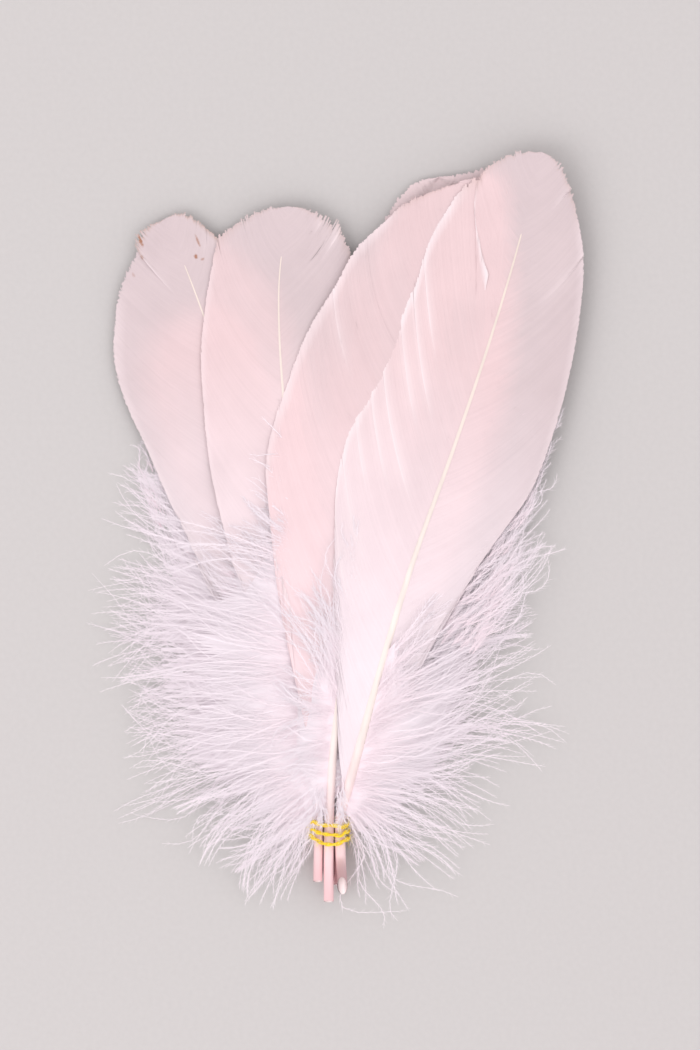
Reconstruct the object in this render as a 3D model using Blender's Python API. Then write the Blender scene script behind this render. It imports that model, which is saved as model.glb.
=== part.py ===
"""A flat bunch of six dyed goose feathers held by a wound yellow thread tie.

The bunch lies on its back, +Z up. The quill ends point to -Y and the feather tips to +Y. Each feather is
one solid: a round hollow-ended quill that turns into a shaft with a thin web on both sides. The web
takes in the vane near the tip and the down near the quill. Plan positions are in millimetres from the
middle of the tie, and MM turns them into metres.
"""

import math
from dataclasses import dataclass

import bpy
import numpy as np

MM = 0.001

# The tie: a thread of a few turns pulled round the quills.
TIE_TURNS = 3
THREAD_DIAMETER = 0.75
TURN_PITCH = 2.0
TIE_INNER_HALF_WIDTH = 3.8
TIE_INNER_HALF_HEIGHT = 2.65
TIE_CORNER_POWER = 4.0
TIE_STEPS = 36
TURN_STEPS = 5

# Heights: the quills lie in two rows inside the tie, then the feathers fan out into levels.
GAP = 0.3
LOW_ROW = THREAD_DIAMETER + GAP
LOW_QUILL_DIAMETER = 2.1
HIGH_ROW = LOW_ROW + LOW_QUILL_DIAMETER + GAP
FAN_START = 4.5
FAN_END = 30.0
LEVEL_PITCH_LOW = 2.35
LEVEL_PITCH_TIP = 1.25
TIP_DISTANCE = 140.0

# The feather's own section: a web of this thickness, and a quill that is hollow at its cut end.
WEB_THICKNESS_DOWN = 1.1
WEB_THICKNESS_TIP = 0.7
EDGE_BEVEL = 0.2
HOLLOW_DEPTH = 3.0
HOLLOW_SHARE = 0.6
SHAFT_TIP_SHARE = 0.22
QUILL_STATIONS = 5
WEB_STATIONS = 36
WEB_FLARE = 3.0


@dataclass(frozen=True)
class Feather:
    """One feather: its shaft line from quill end to tip, and the half widths of its web.

    spine holds (x, y) in plan. left and right hold (distance along the shaft, half width). level is the
    height step of the web, and row is the underside of the quill inside the tie.
    """

    name: str
    spine: tuple
    left: tuple
    right: tuple
    quill_radius: float
    row: float
    level: int


FRONT = Feather(
    name="front_feather",
    spine=(
        (2.9, -13.9), (2.35, -3.0), (2.4, 3.0), (4.2, 10.0), (6.9, 20.0), (9.6, 30.0), (17.7, 57.6),
        (27.4, 84.7), (35.3, 108.2), (42.0, 131.0), (46.3, 148.9),
    ),
    left=(
        (45, 1.2), (52, 8), (60, 13), (72, 18), (84, 21.2), (100, 22.8), (120, 21), (140, 18.8),
        (152, 15.8), (160, 11.5), (165, 8), (169, 3),
    ),
    right=(
        (18, 1.2), (23, 15), (30, 28), (40, 34), (55, 37), (68, 35), (80, 31), (92, 25), (104, 20.5),
        (121, 19.3), (140, 16.7), (152, 13.5), (162, 8.4), (169, 3),
    ),
    quill_radius=1.15,
    row=HIGH_ROW,
    level=4,
)
SECOND = Feather(
    name="second_feather",
    spine=(
        (-0.2, -15.6), (-0.15, 0.0), (0.6, 16.0), (1.9, 28.0), (5.0, 50.6),
        (10.7, 77.0), (16.0, 101.0), (20.8, 119.0), (25.4, 133.0), (29.4, 143.4),
    ),
    left=(
        (46, 1.2), (54, 10), (64, 17), (76, 22), (90, 24.6), (102, 25), (117, 23.2), (131, 19.1),
        (144, 15), (152, 10.9), (158, 5.6), (162.4, 2.4),
    ),
    right=(
        (46, 1.2), (54, 9), (66, 14), (82, 17), (96, 19), (110, 20.6), (122, 20.8), (136, 19.2),
        (146, 16.8), (154, 12.6), (160, 7), (162.4, 2.4),
    ),
    quill_radius=1.1,
    row=HIGH_ROW,
    level=3,
)
TUCKED = Feather(
    name="tucked_feather",
    spine=(
        (1.9, -12.1), (2.25, 0.0), (3.4, 16.0), (5.9, 28.0), (10.0, 46.0), (15.0, 68.0),
        (18.8, 90.0), (21.3, 110.0), (22.8, 128.0), (23.9, 143.4),
    ),
    left=(
        (43, 1.1), (50, 7), (60, 9.5), (75, 12), (95, 13.4), (118, 14.4), (132, 13.8), (146, 11.6),
        (154, 7.4), (157.2, 2.6),
    ),
    right=(
        (17, 1.1), (22, 16), (30, 30), (42, 37), (58, 38), (72, 34), (86, 23), (98, 18),
        (124, 17.5), (138, 16), (148, 13.8), (154, 10.6), (157.2, 5),
    ),
    quill_radius=1.05,
    row=LOW_ROW,
    level=0,
)
LEFT = Feather(
    name="left_feather",
    spine=(
        (-2.6, -11.2), (-2.5, 0.0), (-2.7, 16.0), (-3.0, 28.6), (-4.8, 48.4), (-7.0, 66.0),
        (-8.8, 81.4), (-10.2, 96.0), (-11.0, 108.0), (-11.1, 120.0), (-9.2, 136.8),
    ),
    left=(
        (16, 1.1), (21, 16), (30, 30), (44, 39), (60, 41), (72, 37), (84, 27), (94, 19), (106, 17.6),
        (117, 17.4), (128, 16), (137, 14), (143, 10.7), (148.4, 3.6),
    ),
    right=(
        (44, 1.1), (52, 8), (62, 12), (76, 13.6), (100, 14), (114, 15.1), (126, 16.4), (136, 16),
        (143, 13), (148.4, 4.6),
    ),
    quill_radius=1.0,
    row=HIGH_ROW,
    level=2,
)
CREASED = Feather(
    name="creased_feather",
    spine=(
        (-0.1, -10.6), (-0.1, 0.0), (-2.2, 16.0), (-4.3, 28.6), (-8.0, 50.6),
        (-13.5, 72.6), (-19.8, 92.4), (-25.3, 106.7), (-31.2, 122.5), (-36.0, 134.2),
    ),
    left=(
        (42, 1.1), (48, 20), (56, 36), (66, 39), (76, 34), (86, 25), (96, 22), (113, 22.7),
        (121, 22.4), (130, 20.4), (138, 16.4), (145, 10.6), (149.6, 5),
    ),
    right=(
        (42, 1.1), (50, 8), (62, 12), (78, 14), (100, 14.6), (120, 15.9), (130, 14.6), (138, 11),
        (145, 7.4), (149.6, 4.4),
    ),
    quill_radius=1.0,
    row=LOW_ROW,
    level=1,
)
BOTTOM = Feather(
    name="bottom_feather",
    spine=(
        (-2.6, -9.9), (-2.4, 0.0), (-5.0, 16.0), (-7.0, 28.6), (-11.4, 50.6), (-18.4, 77.0),
        (-25.3, 97.0), (-31.9, 114.0),
    ),
    left=(
        (15, 1.1), (20, 17), (28, 32), (40, 40), (56, 39), (68, 31), (80, 20), (90, 15.4), (100, 14.4),
        (110, 14), (117, 12.4), (123, 9), (127.4, 4),
    ),
    right=(
        (41, 1.1), (48, 5), (60, 8.6), (74, 10.4), (92, 10.6), (108, 11), (118, 9.6), (124, 6.6),
        (127.4, 3.4),
    ),
    quill_radius=1.0,
    row=LOW_ROW,
    level=0,
)
FEATHERS = (FRONT, SECOND, TUCKED, LEFT, CREASED, BOTTOM)


def smooth_step(low, high, value):
    """0 below low, 1 above high, and an S curve between them."""
    share = np.clip((value - low) / (high - low), 0.0, 1.0)
    return share * share * (3.0 - 2.0 * share)


def smooth_values(points, places):
    """Values at places on a smooth curve through (place, value) points, flat past the two ends."""
    points = np.asarray(points, float)
    known, values = points[:, 0], points[:, 1:]
    slopes = np.gradient(values, known, axis=0)
    places = np.clip(places, known[0], known[-1])
    span = np.clip(np.searchsorted(known, places, side="right") - 1, 0, len(known) - 2)
    length = (known[span + 1] - known[span])[:, None]
    share = (places - known[span])[:, None] / length
    rise = share * share * (3.0 - 2.0 * share)
    start = share * (1.0 - share) ** 2
    end = share * share * (share - 1.0)
    near = values[span] * (1.0 - rise) + values[span + 1] * rise
    return near + length * (start * slopes[span] + end * slopes[span + 1])


def spine_frames(feather, distances):
    """Places on the shaft line and its unit side directions, to the right of travel, at distances."""
    points = np.asarray(feather.spine, float)
    chords = np.concatenate(([0.0], np.cumsum(np.hypot(*np.diff(points, axis=0).T))))
    table = np.column_stack((chords, points))
    step = 0.01
    places = smooth_values(table, distances)
    ahead = smooth_values(table, np.minimum(distances + step, chords[-1]))
    behind = smooth_values(table, np.maximum(distances - step, 0.0))
    travel = (ahead - behind) / np.linalg.norm(ahead - behind, axis=1)[:, None]
    return places, np.column_stack((travel[:, 1], -travel[:, 0])), chords[-1]


def underside(feather, y):
    """Height of a feather's underside at plan position y: its row in the tie, then its level."""
    fan = smooth_step(FAN_START, FAN_END, y)
    shrink = smooth_step(FAN_END, TIP_DISTANCE, y)
    pitch = LEVEL_PITCH_LOW + (LEVEL_PITCH_TIP - LEVEL_PITCH_LOW) * shrink
    return feather.row * (1.0 - fan) + feather.level * pitch * fan


def section(radius, left, right, thickness):
    """Points (side, height above the underside) round one section of a feather.

    With both half widths at the quill's radius it is a circle. As a side widens, its points move out to
    a flat web with a bevelled edge, while the shaft stays as a ridge along the top.
    """
    angles = np.radians([270, 300, 330, 350, 10, 45, 65, 90, 115, 135, 170, 190, 210, 240])
    round_side = radius * np.cos(angles)
    round_height = radius * (1.0 + np.sin(angles))
    right_side = np.array([0.0, radius, 0.6 * right, right, right, 0.6 * right, radius])
    left_side = -np.array([radius, 0.6 * left, left, left, 0.6 * left, radius])
    flat_side = np.concatenate((right_side, [0.0], left_side))
    low, high = EDGE_BEVEL * thickness, (1.0 - EDGE_BEVEL) * thickness
    ridge = max(2.0 * radius, thickness + 0.02)
    climb = np.array([0.0, 0.0, 0.0, low, high, thickness, thickness])
    flat_height = np.concatenate((climb, [ridge], climb[:0:-1]))
    flare = np.where(flat_side >= 0.0, right, left)
    share = smooth_step(0.0, WEB_FLARE, flare - radius)
    side = round_side * (1.0 - share) + flat_side * share
    return side, round_height * (1.0 - share) + flat_height * share


def feather_rings(feather):
    """The closed sections of a feather in order: up from inside the quill's hollow, then to the tip."""
    web_start = min(feather.left[0][0], feather.right[0][0])
    tip = min(feather.left[-1][0], feather.right[-1][0])
    quill = np.linspace(0.0, web_start, QUILL_STATIONS, endpoint=False)
    share = np.linspace(0.0, 1.0, WEB_STATIONS)
    web = web_start + (tip - web_start) * (0.55 * share + 0.45 * np.sin(share * math.pi / 2.0))
    distances = np.concatenate(([HOLLOW_DEPTH, 0.0], quill, web))
    hollow = np.concatenate(([HOLLOW_SHARE, HOLLOW_SHARE], np.ones(len(distances) - 2)))
    places, sides, length = spine_frames(feather, distances)
    left = smooth_values(feather.left, distances)[:, 0]
    right = smooth_values(feather.right, distances)[:, 0]
    taper = 1.0 - (1.0 - SHAFT_TIP_SHARE) * smooth_step(0.1 * length, 1.1 * length, distances)
    radii = feather.quill_radius * taper
    thickness = WEB_THICKNESS_DOWN + (WEB_THICKNESS_TIP - WEB_THICKNESS_DOWN) * distances / length
    rings = []
    for station in range(len(distances)):
        radius = radii[station]
        wings = max(left[station], radius), max(right[station], radius)
        side, height = section(radius, *wings, thickness[station])
        side = side * hollow[station]
        height = radius + (height - radius) * hollow[station]
        plan = places[station] + side[:, None] * sides[station]
        rings.append(np.column_stack((plan, underside(feather, plan[:, 1]) + height)))
    return rings


def tie_rings():
    """Sections of the tie: a strip of round turns side by side, at steps round a squared-off oval."""
    turn_angles = np.linspace(0.0, math.pi, TURN_STEPS + 1)
    bulge, along = [], []
    for turn in range(TIE_TURNS):
        middle = (turn - (TIE_TURNS - 1) / 2.0) * TURN_PITCH
        along.extend(middle - 0.5 * TURN_PITCH * np.cos(turn_angles)[:-1])
        bulge.extend(0.4 * THREAD_DIAMETER + 0.6 * THREAD_DIAMETER * np.sin(turn_angles)[:-1])
    last = 0.5 * TIE_TURNS * TURN_PITCH
    along = np.array([*along, last, last, -last])[::-1]
    bulge = np.array([*bulge, 0.4 * THREAD_DIAMETER, 0.0, 0.0])[::-1]
    middle_height = THREAD_DIAMETER + TIE_INNER_HALF_HEIGHT
    rings = []
    for angle in np.linspace(0.0, 2.0 * math.pi, TIE_STEPS, endpoint=False):
        cosine, sine = math.cos(angle), math.sin(angle)
        power = 2.0 / TIE_CORNER_POWER
        x = math.copysign(abs(cosine) ** power, cosine)
        z = math.copysign(abs(sine) ** power, sine)
        ring_x = x * (TIE_INNER_HALF_WIDTH + bulge)
        ring_z = middle_height + z * (TIE_INNER_HALF_HEIGHT + bulge)
        rings.append(np.column_stack((ring_x, along, ring_z)))
    return rings


def skin(rings, closed):
    """(vertices, faces) of quads between rings: round in a loop, or capped at both ends."""
    size, count = len(rings[0]), len(rings)
    faces = []
    for ring in range(count if closed else count - 1):
        near, far = ring * size, (ring + 1) % count * size
        for corner in range(size):
            after = (corner + 1) % size
            faces.append((near + corner, far + corner, far + after, near + after))
    if not closed:
        faces.append(tuple(range(size)))
        faces.append(tuple(reversed(range((count - 1) * size, count * size))))
    return np.concatenate(rings), faces


def material(name, colour, roughness):
    """A plain non-metal material."""
    made = bpy.data.materials.new(name)
    made.use_nodes = True
    shader = made.node_tree.nodes["Principled BSDF"]
    shader.inputs["Base Color"].default_value = (*colour, 1.0)
    shader.inputs["Roughness"].default_value = roughness
    shader.inputs["Metallic"].default_value = 0.0
    return made


def add_solid(name, rings, closed, finish, parent):
    """One named object from its sections, shaded smooth, under the bunch's empty."""
    vertices, faces = skin(rings, closed)
    mesh = bpy.data.meshes.new(name)
    mesh.from_pydata((vertices * MM).tolist(), [], faces)
    mesh.materials.append(finish)
    mesh.shade_smooth()
    mesh.set_sharp_from_angle(angle=math.radians(40.0))
    solid = bpy.data.objects.new(name, mesh)
    solid.parent = parent
    bpy.context.scene.collection.objects.link(solid)
    return solid


def centre_on_origin(solids, parent):
    """Moves the bunch so that the origin is at the bottom centre of its box."""
    corners = np.concatenate([[vertex.co for vertex in solid.data.vertices] for solid in solids])
    low, high = corners.min(axis=0), corners.max(axis=0)
    middle = (low + high) / 2.0
    parent.location = (-middle[0], -middle[1], -low[2])


def main():
    """Builds the six feathers and the tie, and centres the bunch."""
    for item in list(bpy.data.objects):
        bpy.data.objects.remove(item, do_unlink=True)
    bunch = bpy.data.objects.new("bunch", None)
    bpy.context.scene.collection.objects.link(bunch)
    pink = material("pink_feather", (0.86, 0.68, 0.72), 0.7)
    yellow = material("yellow_thread", (0.95, 0.72, 0.06), 0.6)
    solids = []
    for feather in FEATHERS:
        solids.append(add_solid(feather.name, feather_rings(feather), False, pink, bunch))
    solids.append(add_solid("yellow_tie", tie_rings(), True, yellow, bunch))
    centre_on_origin(solids, bunch)


main()
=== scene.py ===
"""Looks of a tied bunch of six dyed goose feathers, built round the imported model.

Each feather is a shaft with a hollow quill, vanes made of single barbs, and strands of down with their
barbules. A wound yellow thread ties the six quills. Sizes are in millimetres in the bunch's own plan,
whose zero is the middle of the tie, with +Y towards the feather tips. MM turns them into metres.
"""

import logging
import math
from dataclasses import dataclass, field, replace
from enum import Enum

import bpy
import numpy as np
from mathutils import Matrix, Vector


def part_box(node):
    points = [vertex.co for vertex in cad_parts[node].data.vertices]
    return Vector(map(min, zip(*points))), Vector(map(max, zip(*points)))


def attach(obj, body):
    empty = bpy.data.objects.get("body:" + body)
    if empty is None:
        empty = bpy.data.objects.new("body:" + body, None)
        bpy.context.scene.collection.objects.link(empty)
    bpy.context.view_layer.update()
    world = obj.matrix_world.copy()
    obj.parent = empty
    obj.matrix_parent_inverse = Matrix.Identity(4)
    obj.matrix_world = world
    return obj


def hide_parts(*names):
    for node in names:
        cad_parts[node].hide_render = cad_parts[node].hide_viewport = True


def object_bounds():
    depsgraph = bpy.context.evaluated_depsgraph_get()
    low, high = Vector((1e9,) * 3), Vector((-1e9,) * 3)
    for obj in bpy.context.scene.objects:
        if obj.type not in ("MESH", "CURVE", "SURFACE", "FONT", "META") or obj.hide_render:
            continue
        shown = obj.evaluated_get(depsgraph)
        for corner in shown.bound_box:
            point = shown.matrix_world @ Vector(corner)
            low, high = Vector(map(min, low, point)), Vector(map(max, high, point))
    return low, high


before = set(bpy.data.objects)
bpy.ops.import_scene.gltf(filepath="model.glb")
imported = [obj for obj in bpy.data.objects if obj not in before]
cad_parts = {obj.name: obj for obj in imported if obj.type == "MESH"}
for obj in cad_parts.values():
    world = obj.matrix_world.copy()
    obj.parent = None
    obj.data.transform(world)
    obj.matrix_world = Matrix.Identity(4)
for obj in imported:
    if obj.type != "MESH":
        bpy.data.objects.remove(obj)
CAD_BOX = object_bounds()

MM = 0.001
BODY = "root"
# The shade of the bed under the down, which makes it darker as a painted shade for the strands over
# it. The strands' own shades run from -1 to 1.
BED_PAINTED_SHADE = -3.0

log = logging.getLogger("feather_bunch")


class Side(Enum):
    """The side of a shaft, seen from above with the tip away from the viewer."""

    LEFT = -1.0
    RIGHT = 1.0


class Row(Enum):
    """Height in millimetres of the underside of a quill inside the tie."""

    LOW = 1.05
    HIGH = 3.45


# --- Curves -----------------------------------------------------------------------------------------


def smooth_step(low: float, high: float, value: np.ndarray) -> np.ndarray:
    """0 below low, 1 above high, and the curve 3x^2 - 2x^3 between them."""
    share = np.clip((np.asarray(value, float) - low) / (high - low), 0.0, 1.0)
    return share * share * (3.0 - 2.0 * share)


def smooth_values(rows: tuple, places: np.ndarray) -> np.ndarray:
    """Reads a smooth curve through rows of numbers.

    Between two rows the curve is the cubic whose slopes at the rows are the slopes to their neighbours.

    Args:
        rows: (place, value, ...) rows with rising places.
        places: Where to read the curve, of any shape. Past either end it stays flat.

    Returns:
        The values, shaped as places with one more axis for the values of a row.
    """
    table = np.asarray(rows, float)
    known, values = table[:, 0], table[:, 1:]
    slopes = np.gradient(values, known, axis=0)
    places = np.clip(places, known[0], known[-1])
    span = np.clip(np.searchsorted(known, places, side="right") - 1, 0, len(known) - 2)
    length = (known[span + 1] - known[span])[..., None]
    share = (places - known[span])[..., None] / length
    rise = share * share * (3.0 - 2.0 * share)
    start = share * (1.0 - share) ** 2
    end = share * share * (share - 1.0)
    level = values[span] * (1.0 - rise) + values[span + 1] * rise
    return level + length * (start * slopes[span] + end * slopes[span + 1])


def unit(vectors: np.ndarray) -> np.ndarray:
    """Vectors of length one, along the last axis."""
    return vectors / np.maximum(np.linalg.norm(vectors, axis=-1, keepdims=True), 1e-9)


# --- Meshes -----------------------------------------------------------------------------------------


@dataclass
class Surface:
    """A mesh as whole arrays, in the bunch's own millimetres.

    points is (n, 3), quads (q, 4), triangles (m, 3) and uv (n, 2). marks holds one number per point
    under each name. normals, where they are given, are the directions that the points are lit from.
    """

    points: np.ndarray
    quads: np.ndarray
    triangles: np.ndarray
    uv: np.ndarray
    marks: dict = field(default_factory=dict)
    normals: np.ndarray | None = None

    def place(self, name: str, origin: np.ndarray, finish: bpy.types.Material) -> bpy.types.Object:
        """Makes the object, with its place in its mesh.

        Args:
            name: The piece's name.
            origin: The world place in metres of the plan's zero.
            finish: The material that the whole piece wears.

        Returns:
            The new object, at the world's origin, unturned and unscaled.
        """
        mesh = bpy.data.meshes.new(name)
        corners = np.concatenate((self.quads.ravel(), self.triangles.ravel())).astype(np.int32)
        fours, threes = len(self.quads), len(self.triangles)
        starts = np.concatenate((np.arange(fours) * 4, fours * 4 + np.arange(threes) * 3))
        mesh.vertices.add(len(self.points))
        mesh.vertices.foreach_set("co", (self.points * MM + origin).astype(np.float32).ravel())
        mesh.loops.add(len(corners))
        mesh.loops.foreach_set("vertex_index", corners)
        mesh.polygons.add(fours + threes)
        mesh.polygons.foreach_set("loop_start", starts.astype(np.int32))
        mesh.update(calc_edges=True)
        mesh.shade_smooth()
        layer = mesh.uv_layers.new(name="OFBake", do_init=False)
        layer.uv.foreach_set("vector", self.uv[corners].astype(np.float32).ravel())
        for mark, values in self.marks.items():
            attribute = mesh.attributes.new(mark, "FLOAT", "POINT")
            attribute.data.foreach_set("value", values.astype(np.float32))
        if self.normals is not None:
            mesh.normals_split_custom_set_from_vertices(self.normals)
        mesh.materials.append(finish)
        made = bpy.data.objects.new(name, mesh)
        bpy.context.scene.collection.objects.link(made)
        return made


def join(parts: list[Surface]) -> Surface:
    """One surface from several.

    Args:
        parts: The surfaces, with the same marks on all of them.

    Returns:
        The surface that holds them all.
    """
    offsets = np.cumsum([0] + [len(part.points) for part in parts[:-1]])
    normals = None
    if parts[0].normals is not None:
        normals = np.concatenate([part.normals for part in parts])
    return Surface(
        points=np.concatenate([part.points for part in parts]),
        quads=np.concatenate([part.quads + start for part, start in zip(parts, offsets)]),
        triangles=np.concatenate([part.triangles + start for part, start in zip(parts, offsets)]),
        uv=np.concatenate([part.uv for part in parts]),
        marks={mark: np.concatenate([part.marks[mark] for part in parts]) for mark in parts[0].marks},
        normals=normals,
    )


def tube_faces(count: int, rings: int, corners: int) -> tuple[np.ndarray, np.ndarray]:
    """Faces of closed tubes that are numbered tube by tube, ring by ring and corner by corner.

    Args:
        count: How many tubes.
        rings: Rings along each tube.
        corners: Corners round each ring.

    Returns:
        The quads between rings, and the triangles of the two end caps, fanned from corner 0.
    """
    index = np.arange(count * rings * corners).reshape(count, rings, corners)
    near, far = index[:, :-1], index[:, 1:]
    quads = np.stack((near, far, np.roll(far, -1, 2), np.roll(near, -1, 2)), -1).reshape(-1, 4)
    fan = np.arange(1, corners - 1)
    first, last = index[:, 0], index[:, -1]
    start = np.stack((first[:, :1].repeat(len(fan), 1), first[:, fan], first[:, fan + 1]), -1)
    end = np.stack((last[:, :1].repeat(len(fan), 1), last[:, fan + 1], last[:, fan]), -1)
    return quads, np.concatenate((start.reshape(-1, 3), end.reshape(-1, 3)))


def tubes(
    centres: np.ndarray, up: np.ndarray, profile: np.ndarray, widths: np.ndarray, heights: np.ndarray
) -> np.ndarray:
    """Points of tubes: at each station, centre + across * width * px + up * height * py.

    Across is the direction of travel crossed with up.

    Args:
        centres: (count, rings, 3) places along the tubes.
        up: Unit directions of the profile's second axis, of the same shape.
        profile: (corners, 2) outline, anticlockwise with up pointing up and across to the right.
        widths: (count, rings) sizes along across.
        heights: (count, rings) sizes along up.

    Returns:
        (count, rings, corners, 3) points.
    """
    travel = unit(np.gradient(centres, axis=1))
    across = unit(np.cross(travel, up))
    side = across[:, :, None] * (profile[:, 0, None] * widths[:, :, None, None])
    rise = up[:, :, None] * (profile[:, 1, None] * heights[:, :, None, None])
    return centres[:, :, None] + side + rise


def strip_uv(number: np.ndarray, total: int, bands: int, along: np.ndarray, share: np.ndarray) -> np.ndarray:
    """Map places for long thin strips, side by side in columns, in a few bands one above the other.

    Args:
        number: The number of each point's strip.
        total: How many strips share the map.
        bands: How many bands the columns are broken into.
        along: 0 to 1 along the strip.
        share: 0 to 1 across the strip.

    Returns:
        (n, 2) map places.
    """
    columns = math.ceil(total / bands)
    u = (number % columns + 0.1 + 0.8 * share) / columns
    v = (number // columns + 0.02 + 0.96 * along) / bands
    return np.stack((u, v), -1).reshape(-1, 2)


def strips(
    points: np.ndarray, first: int, total: int, bands: int, along: np.ndarray, share: np.ndarray,
    marks: dict, normals: np.ndarray | None = None,
) -> Surface:
    """Closed strips as one surface, each with its own column on the map.

    Args:
        points: (count, rings, corners, 3) points of the strips.
        first: The number of the first strip on the map.
        total: How many strips share the map.
        bands: How many bands the columns are broken into.
        along: Each ring's place along a strip on the map, 0 to 1.
        share: Each corner's place across a strip on the map, 0 to 1.
        marks: The numbers that the points hold.
        normals: The directions that the points are lit from, if they are given.

    Returns:
        The surface.
    """
    count, rings, corners = points.shape[:3]
    quads, caps = tube_faces(count, rings, corners)
    number, up, across = np.meshgrid(np.arange(count) + first, along, share, indexing="ij")
    uv = strip_uv(number, total, bands, up, across)
    return Surface(points.reshape(-1, 3), quads, caps, uv, marks, normals)


# --- Finishes ---------------------------------------------------------------------------------------


class Nodes:
    """Adds and links the nodes of one material."""

    def __init__(self, name: str) -> None:
        """Starts a material with its Principled shader.

        Args:
            name: The material's name.
        """
        self.material = bpy.data.materials.new(name)
        self.material.use_nodes = True
        self.tree = self.material.node_tree
        self.shader = self.tree.nodes["Principled BSDF"]

    def add(self, kind: str, **settings: object) -> bpy.types.Node:
        """Adds a node.

        Args:
            kind: The node's type.
            settings: Its settings by name.

        Returns:
            The node.
        """
        node = self.tree.nodes.new(kind)
        for setting, value in settings.items():
            setattr(node, setting, value)
        return node

    def feed(self, target: bpy.types.NodeSocket, source: object) -> None:
        """Links a socket to its source, or sets a plain value on it.

        Args:
            target: The input socket.
            source: An output socket or a value.
        """
        if isinstance(source, bpy.types.NodeSocket):
            self.tree.links.new(source, target)
        else:
            target.default_value = source

    def mark(self, name: str) -> bpy.types.NodeSocket:
        """The number that the mesh holds under that name."""
        return self.add("ShaderNodeAttribute", attribute_name=name).outputs["Fac"]

    def ramp(
        self, value: bpy.types.NodeSocket, low: float, high: float, start: float, end: float
    ) -> bpy.types.NodeSocket:
        """A value moved from one range to another, and held at its ends.

        Args:
            value: The value.
            low: Where the value gives start.
            high: Where it gives end.
            start: The new range's one end.
            end: The new range's other end.

        Returns:
            The moved value.
        """
        node = self.add("ShaderNodeMapRange")
        for socket, number in zip(node.inputs, (value, low, high, start, end)):
            self.feed(socket, number)
        return node.outputs["Result"]

    def mix(self, share: object, first: object, second: object, way: str = "MIX") -> bpy.types.NodeSocket:
        """Lays the second colour over the first.

        Args:
            share: How much of the second shows, 0 to 1.
            first: The colour below.
            second: The colour above.
            way: How the two are mixed.

        Returns:
            The mixed colour.
        """
        node = self.add("ShaderNodeMix", data_type="RGBA", blend_type=way)
        for socket, source in zip((node.inputs[0], node.inputs[6], node.inputs[7]), (share, first, second)):
            self.feed(socket, source)
        return node.outputs[2]

    def shade(self, colour: object, value: bpy.types.NodeSocket) -> bpy.types.NodeSocket:
        """Darkens or brightens a colour.

        Args:
            colour: The colour.
            value: What it is multiplied by.

        Returns:
            The product.
        """
        grey = self.add("ShaderNodeCombineColor")
        for socket in grey.inputs:
            self.feed(socket, value)
        return self.mix(1.0, colour, grey.outputs[0], "MULTIPLY")

    def mapped(self, kind: str, **inputs: tuple) -> bpy.types.NodeSocket:
        """The piece's own coordinates, mapped.

        Args:
            kind: The mapping's kind: POINT or TEXTURE.
            inputs: Its Location, Rotation or Scale.

        Returns:
            The mapped coordinates.
        """
        mapping = self.add("ShaderNodeMapping", vector_type=kind)
        inputs["Vector"] = self.add("ShaderNodeTexCoord").outputs["Object"]
        for name, value in inputs.items():
            self.feed(mapping.inputs[name], value)
        return mapping.outputs[0]

    def noise(self, scale: float, detail: float, stretch: tuple = (1.0, 1.0, 1.0)) -> bpy.types.NodeSocket:
        """Noise on the piece's own coordinates.

        Args:
            scale: Features in a metre.
            detail: How many finer layers it has.
            stretch: What each axis is multiplied by first.

        Returns:
            The noise, 0 to 1.
        """
        node = self.add("ShaderNodeTexNoise")
        self.feed(node.inputs["Vector"], self.mapped("POINT", Scale=stretch))
        self.feed(node.inputs["Scale"], scale)
        self.feed(node.inputs["Detail"], detail)
        return node.outputs["Fac"]

    def spot(self, stain: "Stain") -> bpy.types.NodeSocket:
        """How stained each place is.

        Args:
            stain: The stain: an oval with a torn edge.

        Returns:
            The stain's depth inside it, and 0 outside.
        """
        oval = (stain.width * MM, stain.length * MM, 1.0)
        place = self.mapped("TEXTURE", Location=stain.place, Rotation=(0.0, 0.0, stain.turn), Scale=oval)
        distance = self.add("ShaderNodeVectorMath", operation="LENGTH")
        self.feed(distance.inputs[0], place)
        torn = self.add("ShaderNodeMath", operation="MULTIPLY_ADD")
        for socket, source in zip(torn.inputs, (self.noise(2500.0, 2.0), 1.6, distance.outputs["Value"])):
            self.feed(socket, source)
        return self.ramp(torn.outputs[0], 1.3, 2.1, stain.depth, 0.0)

    def bump(self, height: bpy.types.NodeSocket, strength: float, depth: float) -> None:
        """Adds relief to the shader.

        Args:
            height: The relief, 0 to 1.
            strength: How strong it looks, 0 to 1.
            depth: How deep it is, in metres.
        """
        node = self.add("ShaderNodeBump")
        self.feed(node.inputs["Strength"], strength)
        self.feed(node.inputs["Distance"], depth)
        self.feed(node.inputs["Height"], height)
        self.feed(self.shader.inputs["Normal"], node.outputs[0])

    def set(self, **values: object) -> None:
        """Sets or links sockets of the shader, with _ for a space in their names."""
        for name, value in values.items():
            self.feed(self.shader.inputs[name.replace("_", " ")], value)


def rgba(colour: tuple) -> tuple:
    """A colour with full alpha."""
    return (*colour, 1.0)


@dataclass(frozen=True)
class Stain:
    """A brown mark: its middle in metres, its direction in radians, its half length and half width in
    millimetres, and depth, how dark it is from 0 to 1."""

    place: tuple
    turn: float
    length: float
    width: float
    depth: float


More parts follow.
